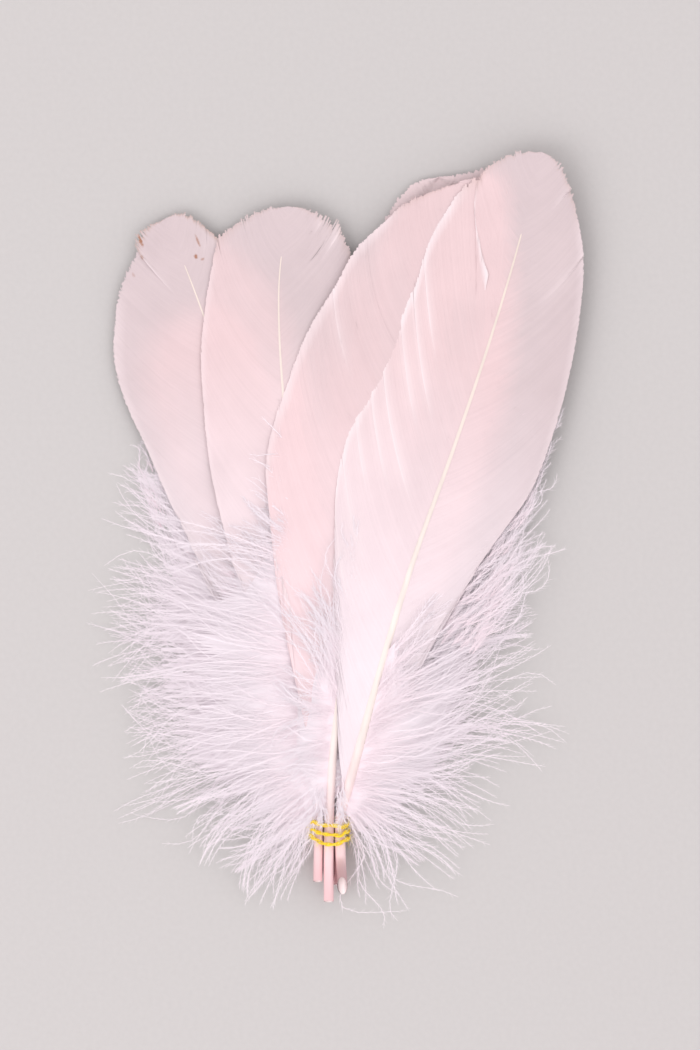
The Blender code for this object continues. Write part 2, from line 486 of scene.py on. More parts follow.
@dataclass(frozen=True)
class VaneFinish:
    """Dyed vane, greyer where a single vane lies over the floor and pinker where vanes lie on each other:
    a painted shade for the shadowed floor that shows through, and a painted glow for light passed between
    layers.

    alone_shaded and layered_glowing are those two colours, lit that of the painted highlight on the lips of
    splits and on barb tips, downy that of the lowest barbs, tip_shadow that of the painted shadow along
    the feather's tips and brown that of the stains. grain is how far the brightness of single barbs
    differs, and cloud how far that of whole patches does.
    """

    alone_shaded: tuple = (0.65, 0.528, 0.55)
    layered_glowing: tuple = (0.785, 0.58, 0.60)
    lit: tuple = (0.90, 0.76, 0.79)
    downy: tuple = (0.89, 0.785, 0.84)
    tip_shadow: tuple = (0.50, 0.33, 0.27)
    brown: tuple = (0.36, 0.13, 0.05)
    stains: tuple = ()
    grain: float = 0.015
    cloud: float = 0.03
    roughness: float = 0.62

    def make(self) -> bpy.types.Material:
        """Builds the material.

        Returns:
            The material.
        """
        nodes = Nodes("vane")
        # Painted shade where a single vane lies over the floor, painted glow where vanes lie on each other.
        cover = nodes.ramp(nodes.mark("cover"), 0.0, 1.3, 0.0, 1.0)
        colour = nodes.mix(cover, rgba(self.alone_shaded), rgba(self.layered_glowing))
        low = nodes.ramp(nodes.mark("along"), 50.0, 120.0, 0.95, 0.0)
        colour = nodes.mix(low, colour, rgba(self.downy))
        # Painted highlight on the lips of splits and on barb tips.
        colour = nodes.mix(nodes.mark("lit"), colour, rgba(self.lit))
        cloud = nodes.ramp(nodes.noise(90.0, 3.0), 0.3, 0.7, 1.0 - self.cloud, 1.0 + self.cloud)
        colour = nodes.shade(colour, cloud)
        grain = nodes.ramp(nodes.mark("grain"), -1.0, 1.0, 1.0 - self.grain, 1.0 + self.grain)
        colour = nodes.shade(colour, grain)
        # Painted shadow along the tips near the feather's tip.
        colour = nodes.mix(nodes.mark("tip_shadow"), colour, rgba(self.tip_shadow))
        for stain in self.stains:
            colour = nodes.mix(nodes.spot(stain), colour, rgba(self.brown))
        nodes.bump(nodes.noise(1500.0, 2.0), 0.2, 0.00005)
        nodes.set(Base_Color=colour, Roughness=self.roughness, Sheen_Weight=0.15, Sheen_Roughness=0.4)
        return nodes.material


@dataclass(frozen=True)
class DownFinish:
    """Down: pink near the shaft, a cool near-white at the strand ends, and a little darker in the bed, a
    painted shade for the strands over it.

    root and tip are the two colours. bed and bright are the factors on them, in the bed, where the factor is
    painted shade, and in the brightest strands.
    """

    root: tuple = (0.98, 0.80, 0.87)
    tip: tuple = (0.94, 0.835, 0.90)
    bed: float = 0.985
    bright: float = 1.05
    roughness: float = 0.8

    def make(self) -> bpy.types.Material:
        """Builds the material.

        Returns:
            The material.
        """
        nodes = Nodes("down")
        share = nodes.ramp(nodes.mark("along"), 0.0, 0.45, 0.0, 1.0)
        colour = nodes.mix(share, rgba(self.root), rgba(self.tip))
        # The bed's low marks give it a painted shade; the strands' marks only vary their tone.
        grain = nodes.ramp(nodes.mark("grain"), BED_PAINTED_SHADE, 1.0, self.bed, self.bright)
        colour = nodes.shade(colour, grain)
        nodes.set(Base_Color=colour, Roughness=self.roughness, Sheen_Weight=0.2, Sheen_Roughness=0.5)
        return nodes.material


@dataclass(frozen=True)
class ShaftFinish:
    """Shaft: a glossy pink quill that turns cream and duller towards the tip, and pale inside its bore.

    stops holds (from, to, colour) rows: each colour takes over from the one before between two distances
    from the quill's end, in millimetres. gloss and dull are the roughness of the quill and of the shaft.
    """

    quill: tuple = (0.93, 0.60, 0.63)
    stops: tuple = (
        (2.0, 14.0, (0.95, 0.72, 0.74)), (14.0, 40.0, (0.90, 0.78, 0.74)), (70.0, 150.0, (0.86, 0.73, 0.66))
    )
    bore: tuple = (0.94, 0.78, 0.78)
    gloss: float = 0.16
    dull: float = 0.5

    def make(self) -> bpy.types.Material:
        """Builds the material.

        Returns:
            The material.
        """
        nodes = Nodes("shaft")
        along, colour = nodes.mark("along"), rgba(self.quill)
        for low, high, stop in self.stops:
            colour = nodes.mix(nodes.ramp(along, low, high, 0.0, 1.0), colour, rgba(stop))
        streak = nodes.ramp(nodes.noise(500.0, 3.0, (1.0, 0.08, 1.0)), 0.3, 0.7, 0.93, 1.06)
        colour = nodes.shade(colour, streak)
        colour = nodes.mix(nodes.mark("bore"), colour, rgba(self.bore))
        roughness = nodes.ramp(along, 10.0, 40.0, self.gloss, self.dull)
        nodes.bump(nodes.noise(700.0, 3.0, (1.0, 0.06, 1.0)), 0.25, 0.00008)
        nodes.set(Base_Color=colour, Roughness=roughness)
        return nodes.material


@dataclass(frozen=True)
class ThreadFinish:
    """Spun yellow thread, darker between its fibres as a painted shade in the grooves, and paler loose
    fibres.
    """

    bright: tuple = (1.0, 0.80, 0.03)
    # deep is the painted shade in the grooves between the fibres.
    deep: tuple = (0.85, 0.50, 0.01)
    fuzz: tuple = (1.0, 0.88, 0.40)
    roughness: float = 0.5

    def make(self) -> bpy.types.Material:
        """Builds the material.

        Returns:
            The material.
        """
        nodes = Nodes("thread")
        fibres = nodes.noise(2600.0, 3.0)
        # Painted shade: the same noise that cuts the grooves in the bump darkens them.
        colour = nodes.mix(nodes.ramp(fibres, 0.35, 0.65, 0.0, 1.0), rgba(self.deep), rgba(self.bright))
        colour = nodes.mix(nodes.mark("fuzz"), colour, rgba(self.fuzz))
        nodes.bump(fibres, 0.4, 0.0001)
        nodes.set(Base_Color=colour, Roughness=self.roughness, Sheen_Weight=0.3, Sheen_Roughness=0.4)
        return nodes.material


@dataclass(frozen=True)
class FloorFinish:
    """Plain pale paper with a faint fibre."""

    colour: tuple = (0.58, 0.548, 0.548)
    roughness: float = 0.9

    def make(self) -> bpy.types.Material:
        """Builds the material.

        Returns:
            The material.
        """
        nodes = Nodes("floor")
        fibre = nodes.ramp(nodes.noise(900.0, 4.0), 0.3, 0.7, 0.985, 1.015)
        nodes.set(Base_Color=nodes.shade(rgba(self.colour), fibre), Roughness=self.roughness)
        return nodes.material


# --- The shape of a feather -------------------------------------------------------------------------


@dataclass(frozen=True)
class Lie:
    """How high feathers lie: in one of two rows inside the tie, then fanned out into levels.

    fan_start and fan_end are the distances from the tie between which they leave their rows. A level is
    pitch_low high there, and pitch_tip high from tip_distance on.
    """

    fan_start: float = 4.5
    fan_end: float = 30.0
    pitch_low: float = 2.35
    pitch_tip: float = 1.25
    tip_distance: float = 140.0

    def underside(self, row: Row, level: int, y: np.ndarray) -> np.ndarray:
        """Height of a feather's underside.

        It is the row's height, crossing over smoothly to level * pitch, whose pitch shrinks towards the
        tips.

        Args:
            row: The quill's row in the tie.
            level: The feather's height step.
            y: Distances from the tie.

        Returns:
            The heights above the floor.
        """
        fan = smooth_step(self.fan_start, self.fan_end, y)
        shrink = smooth_step(self.fan_end, self.tip_distance, y)
        pitch = self.pitch_low + (self.pitch_tip - self.pitch_low) * shrink
        return row.value * (1.0 - fan) + level * pitch * fan


LIE = Lie()


@dataclass(frozen=True)
class Spine:
    """A shaft's line in plan, through (x, y) points from the quill's end to the tip."""

    points: tuple

    def table(self) -> np.ndarray:
        """The line as a table.

        Returns:
            Rows of (distance along the chords, x, y).
        """
        points = np.asarray(self.points, float)
        steps = np.hypot(*np.diff(points, axis=0).T)
        return np.column_stack((np.concatenate(([0.0], np.cumsum(steps))), points))

    @property
    def length(self) -> float:
        """Length of the shaft, from the quill's end to the tip."""
        return float(self.table()[-1, 0])

    def plan(self, along: np.ndarray, aside: np.ndarray) -> np.ndarray:
        """Plan places from distances along the shaft and to its right.

        Args:
            along: Distances from the quill's end.
            aside: Distances to the right of the shaft, of the same shape.

        Returns:
            Places with one more axis, of 2.
        """
        table, step = self.table(), 0.01
        inside = np.clip(along, 0.0, table[-1, 0])
        places = smooth_values(table, inside)
        ahead = smooth_values(table, np.minimum(inside + step, table[-1, 0]))
        behind = smooth_values(table, np.maximum(inside - step, 0.0))
        travel = unit(ahead - behind)
        right = np.stack((travel[..., 1], -travel[..., 0]), -1)
        return places + travel * (along - inside)[..., None] + right * aside[..., None]

    def distance_at(self, y: np.ndarray) -> np.ndarray:
        """Finds places on the shaft by their distance from the tie.

        Args:
            y: Distances from the tie along Y.

        Returns:
            Distances along the shaft.
        """
        table = self.table()
        fine = np.linspace(0.0, table[-1, 0], 600)
        return np.interp(y, smooth_values(table, fine)[:, 1], fine)


@dataclass(frozen=True)
class Split:
    """A split in a vane: it opens beside the barb rooted at root, and is widest at the vane's edge.

    gap is its width at the edge, and a gap under 0 draws the barbs together, so that they lap. start is
    the share of the barbs where it opens, reach how far along the shaft the barbs are pushed aside, lift
    how far the upper lip rises and glow how strong the painted highlight on its lips is.
    """

    root: float
    gap: float
    start: float = 0.5
    reach: float = 4.0
    lift: float = 0.15
    glow: float = 0.0


@dataclass(frozen=True)
class Web:
    """One side of a vane, or one lobe of it.

    outline holds (distance along the shaft, half width) of the barb tips, from the quill up. A barb's
    root lies rake half widths below its tip, with the widest half width from there to the feather's tip.
    roots, where it is given, is instead where the first and the last barb leave the shaft, with even
    steps between them. straight is the share of a barb's rise that is even. drop is how far the web
    droops DROOP_SPAN from the shaft, and base how far its outer half lies over its neighbour. lift is how
    far its lowest barb rises over that, and glow how strong the painted highlight on that lip is. splits
    are its own splits, and nicks how many small ones it gets at random. tuck is how far the lowest barbs
    dip under the neighbour short of their tips, and sag how far they hang. loose is how much the lowest
    barbs come apart into locks, and hold where along the shaft they hold together. edge is how strong the
    painted highlight on the barb tips is, and tip_shadow how strong the painted shadow along them is
    towards the feather's tip.
    """

    side: Side
    outline: tuple
    rake: float = 1.5
    roots: tuple = ()
    straight: float = 0.72
    drop: float = 0.7
    lift: float = 0.0
    glow: float = 0.0
    base: float = 0.0
    splits: tuple = ()
    nicks: int = 4
    tuck: float = 0.0
    sag: float = 0.0
    loose: float = 1.0
    hold: float = 60.0
    edge: float = 0.35
    tip_shadow: float = 0.25

    def barb_ends(self, spacing: float) -> tuple[np.ndarray, np.ndarray, np.ndarray]:
        """Where the barbs leave the shaft and where their tips lie.

        Args:
            spacing: Distance between barb roots.

        Returns:
            Root distances, and the tips' distances along and aside.
        """
        outline = np.asarray(self.outline, float)
        walked = np.concatenate(([0.0], np.cumsum(np.hypot(*np.diff(outline, axis=0).T))))
        fine = np.linspace(0.0, walked[-1], 400)
        tips = smooth_values(np.column_stack((walked, outline)), fine)
        if self.roots:
            line = np.linspace(self.roots[0], self.roots[1], len(fine))
        else:
            widest = np.maximum.accumulate(tips[::-1, 1])[::-1]
            line = tips[:, 0] - self.rake * widest
        roots = np.arange(line[0], line[-1], spacing)
        return roots, np.interp(roots, line, tips[:, 0]), np.interp(roots, line, tips[:, 1])


BARB_SHARES = np.array([0.0, 0.08, 0.16, 0.25, 0.35, 0.45, 0.55, 0.65, 0.75, 0.84, 0.91, 0.96, 0.985, 1.0])
BARB_RINGS = len(BARB_SHARES)
BARB_PROFILE = np.array([(0.0, -1.0), (0.5, -0.08), (-0.5, 0.08)])
BARB_OVERLAP = 1.5
BARB_THICKNESS = 0.09
THINNEST_BARB = 0.03
NARROWEST_BARB = 0.12
WIDEST_BARB = 1.2
LOWEST_BARB = 0.35
# The share of a barb at which its tip starts to narrow and to darken with painted shadow.
TIP_START = 0.93
# Height of a vane over its feather's underside, beside the shaft.
CROWN = 1.0
# A web with drop d lies d lower at this distance from its shaft.
DROOP_SPAN = 20.0
# How fast tuck and sag fade along the shaft.
TUCK_REACH = 8.0
SAG_REACH = 20.0
# The chance that a loose barb starts a new lock.
LOCK_CHANCE = 0.13
# What a feather's own seed is raised by for its vane's shades and for its down.
VANE_SEED = 50
DOWN_SEED = 100
SHAFT_CORNERS = 14
# (share of the shaft's length, share of the quill's radius) rows.
SHAFT_RADII = ((0.0, 1.0), (0.13, 0.97), (0.26, 0.78), (0.52, 0.44), (0.8, 0.23), (1.0, 0.08))
# (distance up the quill, share of its radius) of the rings inside the bore, from its floor to its mouth.
BORE_RINGS = np.array([(6.0, 0.3), (3.0, 0.66), (1.0, 0.7), (0.0, 0.78)])
# How far up the outside of the quill the slant of its mouth fades out.
MOUTH_LENGTH = 9.0


@dataclass(frozen=True)
class Barbs:
    """The barb lines of one web, in (barb, ring) arrays, before they are given their thickness."""

    centres: np.ndarray
    widths: np.ndarray
    lit: np.ndarray
    tip_shadow: np.ndarray
    along: np.ndarray


@dataclass
class Feather:
    """One feather: its shaft, its vanes and its down.

    quill_radius is the shaft's radius at the quill, cut how far the quill's end is cut back along its
    top, spacing the distance between barb roots, and seed starts its random numbers. hidden is how much
    of the shaft the barbs hide at the tip. stains holds (along, aside, length, width, depth) rows, finish
    the colours of its vane, and barbs the lines of its webs once they are laid.
    """

    name: str
    spine: Spine
    row: Row
    level: int
    quill_radius: float
    webs: tuple
    fans: tuple
    seed: int
    cut: float = 0.5
    spacing: float = 0.4
    hidden: float = 7.0
    stains: tuple = ()
    finish: VaneFinish = VaneFinish()
    barbs: list = field(default_factory=list)

    @property
    def node(self) -> str:
        """Name of the CAD node that this feather stands for."""
        return f"{self.name}_feather"

    def radius(self, along: np.ndarray) -> np.ndarray:
        """Radius of the shaft, at distances from the quill's end."""
        return self.quill_radius * smooth_values(SHAFT_RADII, along / self.spine.length)[..., 0]

    def underside(self, y: np.ndarray) -> np.ndarray:
        """Height of the feather's underside at distances from the tie."""
        return LIE.underside(self.row, self.level, y)

    def shaft_height(self, along: np.ndarray, y: np.ndarray) -> np.ndarray:
        """Height of the shaft's middle.

        It lies on the floor of its row in the tie, and from 14 to 50 mm up it comes level with the vane.
        At the tip it sinks by 0.6 mm under the barbs that hide it.

        Args:
            along: Distances from the quill's end.
            y: The same places' distances from the tie.

        Returns:
            The heights above the floor.
        """
        radius = self.radius(along)
        share = smooth_step(14.0, 50.0, along)
        end = self.spine.length - self.hidden
        sunk = 0.6 * smooth_step(end - 5.0, end + 1.0, along)
        return self.underside(y) + radius * (1.0 - share) + (CROWN - 0.3 * radius) * share - sunk

    # Shaft

    def make_shaft(self) -> Surface:
        """The shaft with its hollow quill.

        A ring of corners, with a groove below, is carried along the shaft's line. It starts inside the
        bore, comes out to the edge of the mouth and runs up the outside. Near the quill's end a point at
        height h over the underside moves up the shaft by cut * h / diameter, which makes the slanted mouth.
        From 30 to 90 mm up, the direction it is lit from crosses over from straight out to straight up.

        Returns:
            The shaft as one surface.
        """
        length = self.spine.length
        outside = np.concatenate(([0.0], np.linspace(1.5, 20.0, 14), np.linspace(22.0, length - 1.5, 76)))
        along = np.concatenate((BORE_RINGS[:, 0], outside))
        share = np.concatenate((BORE_RINGS[:, 1], np.ones(len(outside))))
        radius = self.radius(along)
        plan = self.spine.plan(along, np.zeros_like(along))
        heights = self.shaft_height(along, plan[:, 1])
        angles = np.linspace(0.0, 2.0 * math.pi, SHAFT_CORNERS, endpoint=False)
        round_up = np.sin(angles)
        groove = 1.0 - 0.12 * np.exp(-((angles - 1.5 * math.pi) ** 2) / 0.1)
        profile = np.column_stack((np.cos(angles), 0.94 * round_up * groove))
        slant = self.cut * np.clip(1.0 - along / MOUTH_LENGTH, 0.0, 1.0)[:, None] * (0.5 + 0.5 * round_up)
        slant = np.where((share < 1.0)[:, None], self.cut * (0.5 + 0.5 * round_up), slant)
        places = along[:, None] + slant
        middle = self.spine.plan(places, profile[:, 0] * (radius * share)[:, None])
        centre = self.shaft_height(places, self.spine.plan(places, np.zeros_like(places))[..., 1])
        z = centre + profile[:, 1] * (radius * share)[:, None]
        points = np.concatenate((middle, z[..., None]), -1)
        flat = smooth_step(30.0, 90.0, along)[:, None, None]
        round_out = points - np.concatenate((plan, heights[:, None]), 1)[:, None]
        facing = unit(round_out) * np.where(share < 1.0, -1.0, 1.0)[:, None, None]
        facing = unit(facing * (1.0 - flat) + (0.0, 0.0, 1.0) * np.sign(round_up + 0.3)[:, None] * flat)
        quads, caps = tube_faces(1, len(along), len(angles))
        ring = np.repeat(np.arange(len(along)), len(angles)) / (len(along) - 1)
        turn = np.tile(np.arange(len(angles)), len(along)) / len(angles)
        return Surface(
            points=points.reshape(-1, 3),
            quads=quads,
            triangles=caps,
            uv=np.column_stack((0.02 + 0.96 * turn, 0.01 + 0.98 * ring)),
            marks={
                "along": np.repeat(along, len(angles)),
                "bore": np.repeat((share < 1.0).astype(float), len(angles)),
            },
            normals=facing.reshape(-1, 3),
        )

    # Vane

    def lay_barbs(self, web: Web, rng: np.random.Generator) -> Barbs:
        """Lines of a web's barbs.

        A barb with root r, tip distance p and half width W runs, for t from 0 to 1, through the
        distances r + (p - r)(k t + (1 - k) t^2.2) along the shaft and W (1.25 t - 0.25 t^2) aside, where
        k is straight. p - r and W are ragged: by 0.3% of themselves, by 1 to 3% near the feather's tip,
        and by up to 30% where the barbs are loose. Splits push barbs apart across their own direction by
        gap / 2 * exp(-distance / reach).

        The height is the crown, less drop * (aside / DROOP_SPAN)^2, plus base over the outer half. With
        d the distance up from the web's first root, it is less tuck * exp(-d / TUCK_REACH), but for the
        barbs' last 15%, and less sag * exp(-d / SAG_REACH), which grows along the barb. A wave of
        0.12 mm, the lifts of splits and locks and a little roughness come on top.

        Args:
            web: The web to lay.
            rng: The feather's random numbers.

        Returns:
            The barbs' lines.
        """
        roots, tips, reach = web.barb_ends(self.spacing)
        t = BARB_SHARES
        loose = web.loose * smooth_step(web.hold, 0.5 * web.hold, roots)
        ragged = 1.0 + rng.normal(0.0, 0.003, len(roots))
        left = self.spine.length - tips
        near_tip = smooth_step(16.0, 8.0, left)
        frayed = 0.01 * near_tip + 0.017 * smooth_step(6.0, 2.0, left)
        ragged = ragged + 0.3 * loose * rng.random(len(roots)) + frayed * rng.normal(0, 1, len(roots))
        rise = web.straight * t + (1.0 - web.straight) * t**2.2
        end = self.spine.length - self.hidden
        start = 0.6 * self.radius(roots) - 0.5 * smooth_step(end - 8.0, end - 2.0, roots)
        outward = np.maximum(reach - start, 0.3) * ragged
        along = roots[:, None] + ((tips - roots) * ragged)[:, None] * rise
        aside = start[:, None] + outward[:, None] * (1.25 * t - 0.25 * t * t)
        plan = self.spine.plan(along, web.side.value * aside)
        step = np.gradient(plan, axis=0)
        travel = unit(np.gradient(plan, axis=1))
        room = np.abs(step[..., 0] * travel[..., 1] - step[..., 1] * travel[..., 0])
        taper = 1.0 - 0.2 * smooth_step(TIP_START, 1.0, t)
        widths = np.clip(BARB_OVERLAP * room, NARROWEST_BARB, WIDEST_BARB) * taper
        normal = np.stack((-travel[..., 1], travel[..., 0]), -1) * -web.side.value
        shift, lift, lit = self.open_splits(web, roots, t, rng)
        # Painted highlight on the barb tips away from the feather's tip, and painted shadow along them near
        # it.
        tip_end = smooth_step(0.9, 1.0, t) * np.ones((len(roots), 1))
        lit = np.clip(lit + web.edge * tip_end * (1.0 - near_tip[:, None]), 0.0, 1.0)
        tip_shadow = web.tip_shadow * smooth_step(TIP_START, 1.0, t) * near_tip[:, None]
        plan = plan + normal * shift[..., None]
        plan, rise_up = self.loosen(plan, normal, loose, t, rng)
        widths = widths * (1.0 - 0.6 * loose[:, None] * t**3)
        height = self.underside(plan[..., 1]) + CROWN - web.drop * (aside / DROOP_SPAN) ** 2
        height = height + web.base * smooth_step(0.5, 0.9, t)
        low = (roots - roots[0])[:, None]
        height = height - web.tuck * np.exp(-low / TUCK_REACH) * smooth_step(1.0, 0.85, t)
        height = height - web.sag * np.exp(-low / SAG_REACH) * smooth_step(0.0, 0.8, t)
        wave = 0.12 * np.sin(along / 7.0 + self.seed) * smooth_step(2.0, 14.0, aside)
        height = height + wave + lift + rise_up + rng.normal(0.0, 0.008, len(roots))[:, None]
        centres = np.concatenate((plan, np.maximum(height, LOWEST_BARB)[..., None]), -1)
        return Barbs(centres, widths, lit, tip_shadow, along)

    def loosen(
        self, plan: np.ndarray, normal: np.ndarray, loose: np.ndarray, t: np.ndarray,
        rng: np.random.Generator,
    ) -> tuple[np.ndarray, np.ndarray]:
        """Draws loose barbs together into locks, of about eight barbs, that bend their own way.

        Args:
            plan: (barb, ring, 2) places.
            normal: Directions across the barbs, of the same shape.
            loose: How loose each barb is, from 0 to 1.
            t: Shares along a barb.
            rng: The feather's random numbers.

        Returns:
            The new places, and how far each rises.
        """
        count = len(loose)
        lock = np.cumsum(rng.random(count) < LOCK_CHANCE)
        middle = np.searchsorted(lock, lock) + np.bincount(lock)[lock] // 2
        own = rng.normal(0.0, 1.0, (lock[-1] + 1, 2))[lock]
        draw = (loose[:, None] * 0.5 * smooth_step(0.4, 1.0, t))[..., None]
        plan = plan * (1.0 - draw) + plan[np.minimum(middle, count - 1)] * draw
        sway = (0.8 * own[:, :1] + 0.5 * rng.normal(0.0, 1.0, (count, 1))) * loose[:, None] * t**3
        return plan + normal * sway[..., None], 0.35 * own[:, 1:] * loose[:, None] * t

    def open_splits(
        self, web: Web, roots: np.ndarray, t: np.ndarray, rng: np.random.Generator
    ) -> tuple[np.ndarray, np.ndarray, np.ndarray]:
        """How far a web's splits and small nicks move each barb, and the painted highlight on their lips.

        Args:
            web: The web.
            roots: Root distances of its barbs.
            t: Shares along a barb.
            rng: The feather's random numbers.

        Returns:
            Shifts towards the tip across the barbs, lifts and painted highlight, in (barb, ring) arrays.
        """
        splits = list(web.splits)
        for place in rng.uniform(roots[0], roots[-1], web.nicks):
            splits.append(Split(place, rng.uniform(0.04, 0.22), rng.uniform(0.82, 0.94), 1.5, 0.02))
        shift = np.zeros((len(roots), len(t)))
        lift, lit = np.zeros_like(shift), np.zeros_like(shift)
        for split in splits:
            away = (roots - split.root)[:, None]
            near = np.exp(-np.abs(away) / split.reach)
            open_share = smooth_step(split.start, 1.0, t)
            upper = away > 0.0
            shift += np.where(upper, 0.5, -0.5) * split.gap * near * open_share
            lift += np.where(upper, split.lift, -0.3 * split.lift) * near * open_share
            lip = np.exp(-np.abs(away) / 1.6) * smooth_step(split.start - 0.2, split.start + 0.1, t)
            lit += np.where(upper, split.glow, 0.35 * split.glow) * lip
        edge = np.exp(-(roots - roots[0])[:, None] / 1.5) * smooth_step(0.35, 0.85, t)
        return shift, lift + web.lift * edge, np.clip(lit + web.glow * edge, 0.0, 1.0)

    def make_vane(self, cover: "Cover") -> Surface:
        """The vanes, barb by barb.

        Each barb is a closed strip with a flat top and a keel below, carried along its line. Its width
        is the room between the barbs, so that the strips close into a sheet and part at the splits.

        Args:
            cover: The vanes that lie under this one.

        Returns:
            Both vanes as one surface.
        """
        rng = np.random.default_rng(self.seed + VANE_SEED)
        total = sum(len(barbs.widths) for barbs in self.barbs)
        parts, done = [], 0
        for barbs in self.barbs:
            count = len(barbs.widths)
            travel = np.gradient(barbs.centres, axis=1)
            beside = np.gradient(barbs.centres, axis=0)
            up = unit(np.cross(travel, beside))
            up = unit(np.where(up[..., 2:] < 0.0, -up, up) + (0.0, 0.0, 0.6))
            thick = np.maximum(BARB_THICKNESS * smooth_step(1.05, 0.8, BARB_SHARES), THINNEST_BARB)
            thick = np.broadcast_to(thick, barbs.widths.shape)
            points = tubes(barbs.centres, up, BARB_PROFILE, barbs.widths, thick)
            # The count of vanes below picks between the painted shade and the painted glow.
            marks = {
                "cover": cover.under(self, barbs.centres),
                "lit": barbs.lit,
                "tip_shadow": barbs.tip_shadow,
                "along": barbs.along,
                "grain": np.repeat(rng.uniform(-1.0, 1.0, count), BARB_RINGS),
            }
            marks = {mark: np.repeat(values.ravel(), 3) for mark, values in marks.items()}
            facing = up + rng.normal(0.0, 0.02, (count, 1, 3))
            facing = unit((facing[:, :, None] * np.array((-1.0, 1.0, 1.0))[:, None]).reshape(-1, 3))
            parts.append(strips(points, done, total, 2, BARB_SHARES, (0.5, 1.0, 0.0), marks, facing))
            done += count
        return join(parts)

    def marked(self, origin: np.ndarray) -> tuple:
        """Places the feather's stains in the world.

        Args:
            origin: The world place in metres of the plan's zero.

        Returns:
            The stains.
        """
        found = []
        for along, aside, length, width, depth in self.stains:
            ends = self.spine.plan(np.array([along, along + 0.5]), np.array([aside, aside])) * MM
            step = ends[1] - ends[0]
            place = (*(ends[0] + origin[:2]), 0.0)
            found.append(Stain(place, math.atan2(step[1], step[0]) - 0.5 * math.pi, length, width, depth))
        return tuple(found)

    # Down

    def make_down(self) -> Surface:
        """The down: curved strands with fine barbules, and a soft bed under the fans that have one.

        Returns:
            All of it as one surface.
        """
        rng = np.random.default_rng(self.seed + DOWN_SEED)
        total = sum(fan.strands + fan.bed for fan in self.fans)
        parts, done = [], 0
        for fan in self.fans:
            lines = fan.lay(self, rng)
            down = Down(lines, done, total, rng)
            parts.append(down.ribbons(STRAND_WIDTH * (1.0 - down.t) ** 0.6 + 0.02, STRAND_DEPTH))
            parts.append(down.fringe(fan.barbules))
            done += len(lines)
            if fan.bed:
                # The bed's deep shade is a painted shade for the strands over it.
                bed = Down(fan.lay_bed(self, rng), done, total, rng, tilt=0.03, shade=0.3, deep=BED_PAINTED_SHADE)
                parts.append(bed.sheet(fan.side))
                done += fan.bed
        return join(parts)


STRAND_RINGS = 13
# A strand's half width at its root, less the 0.02 that is left at its tip, and its depth.
STRAND_WIDTH = 0.06
STRAND_DEPTH = 0.05
KEELED = np.array([(0.0, -1.0), (1.0, 0.3), (-1.0, 0.3)])
KEELED_SHARES = (0.0, 0.5, 1.0)
BARBULE_WIDTH = 0.055
BARBULE_DEPTH = 0.03
LOWEST_STRAND = 0.25
LOWEST_BARBULE = 0.1
# How far down that starts under a vane sinks with the vane, DROOP_SPAN from the shaft.
ROOT_DROOP = 3.4
# Degrees: how far the headings of locks and of strands in a lock differ, how far the strands' bends
# differ, and the bend that all have.
LOCK_TURN = 8.0
STRAND_TURN = 5.0
STRAND_BEND = 18.0
EVEN_BEND = 4.0


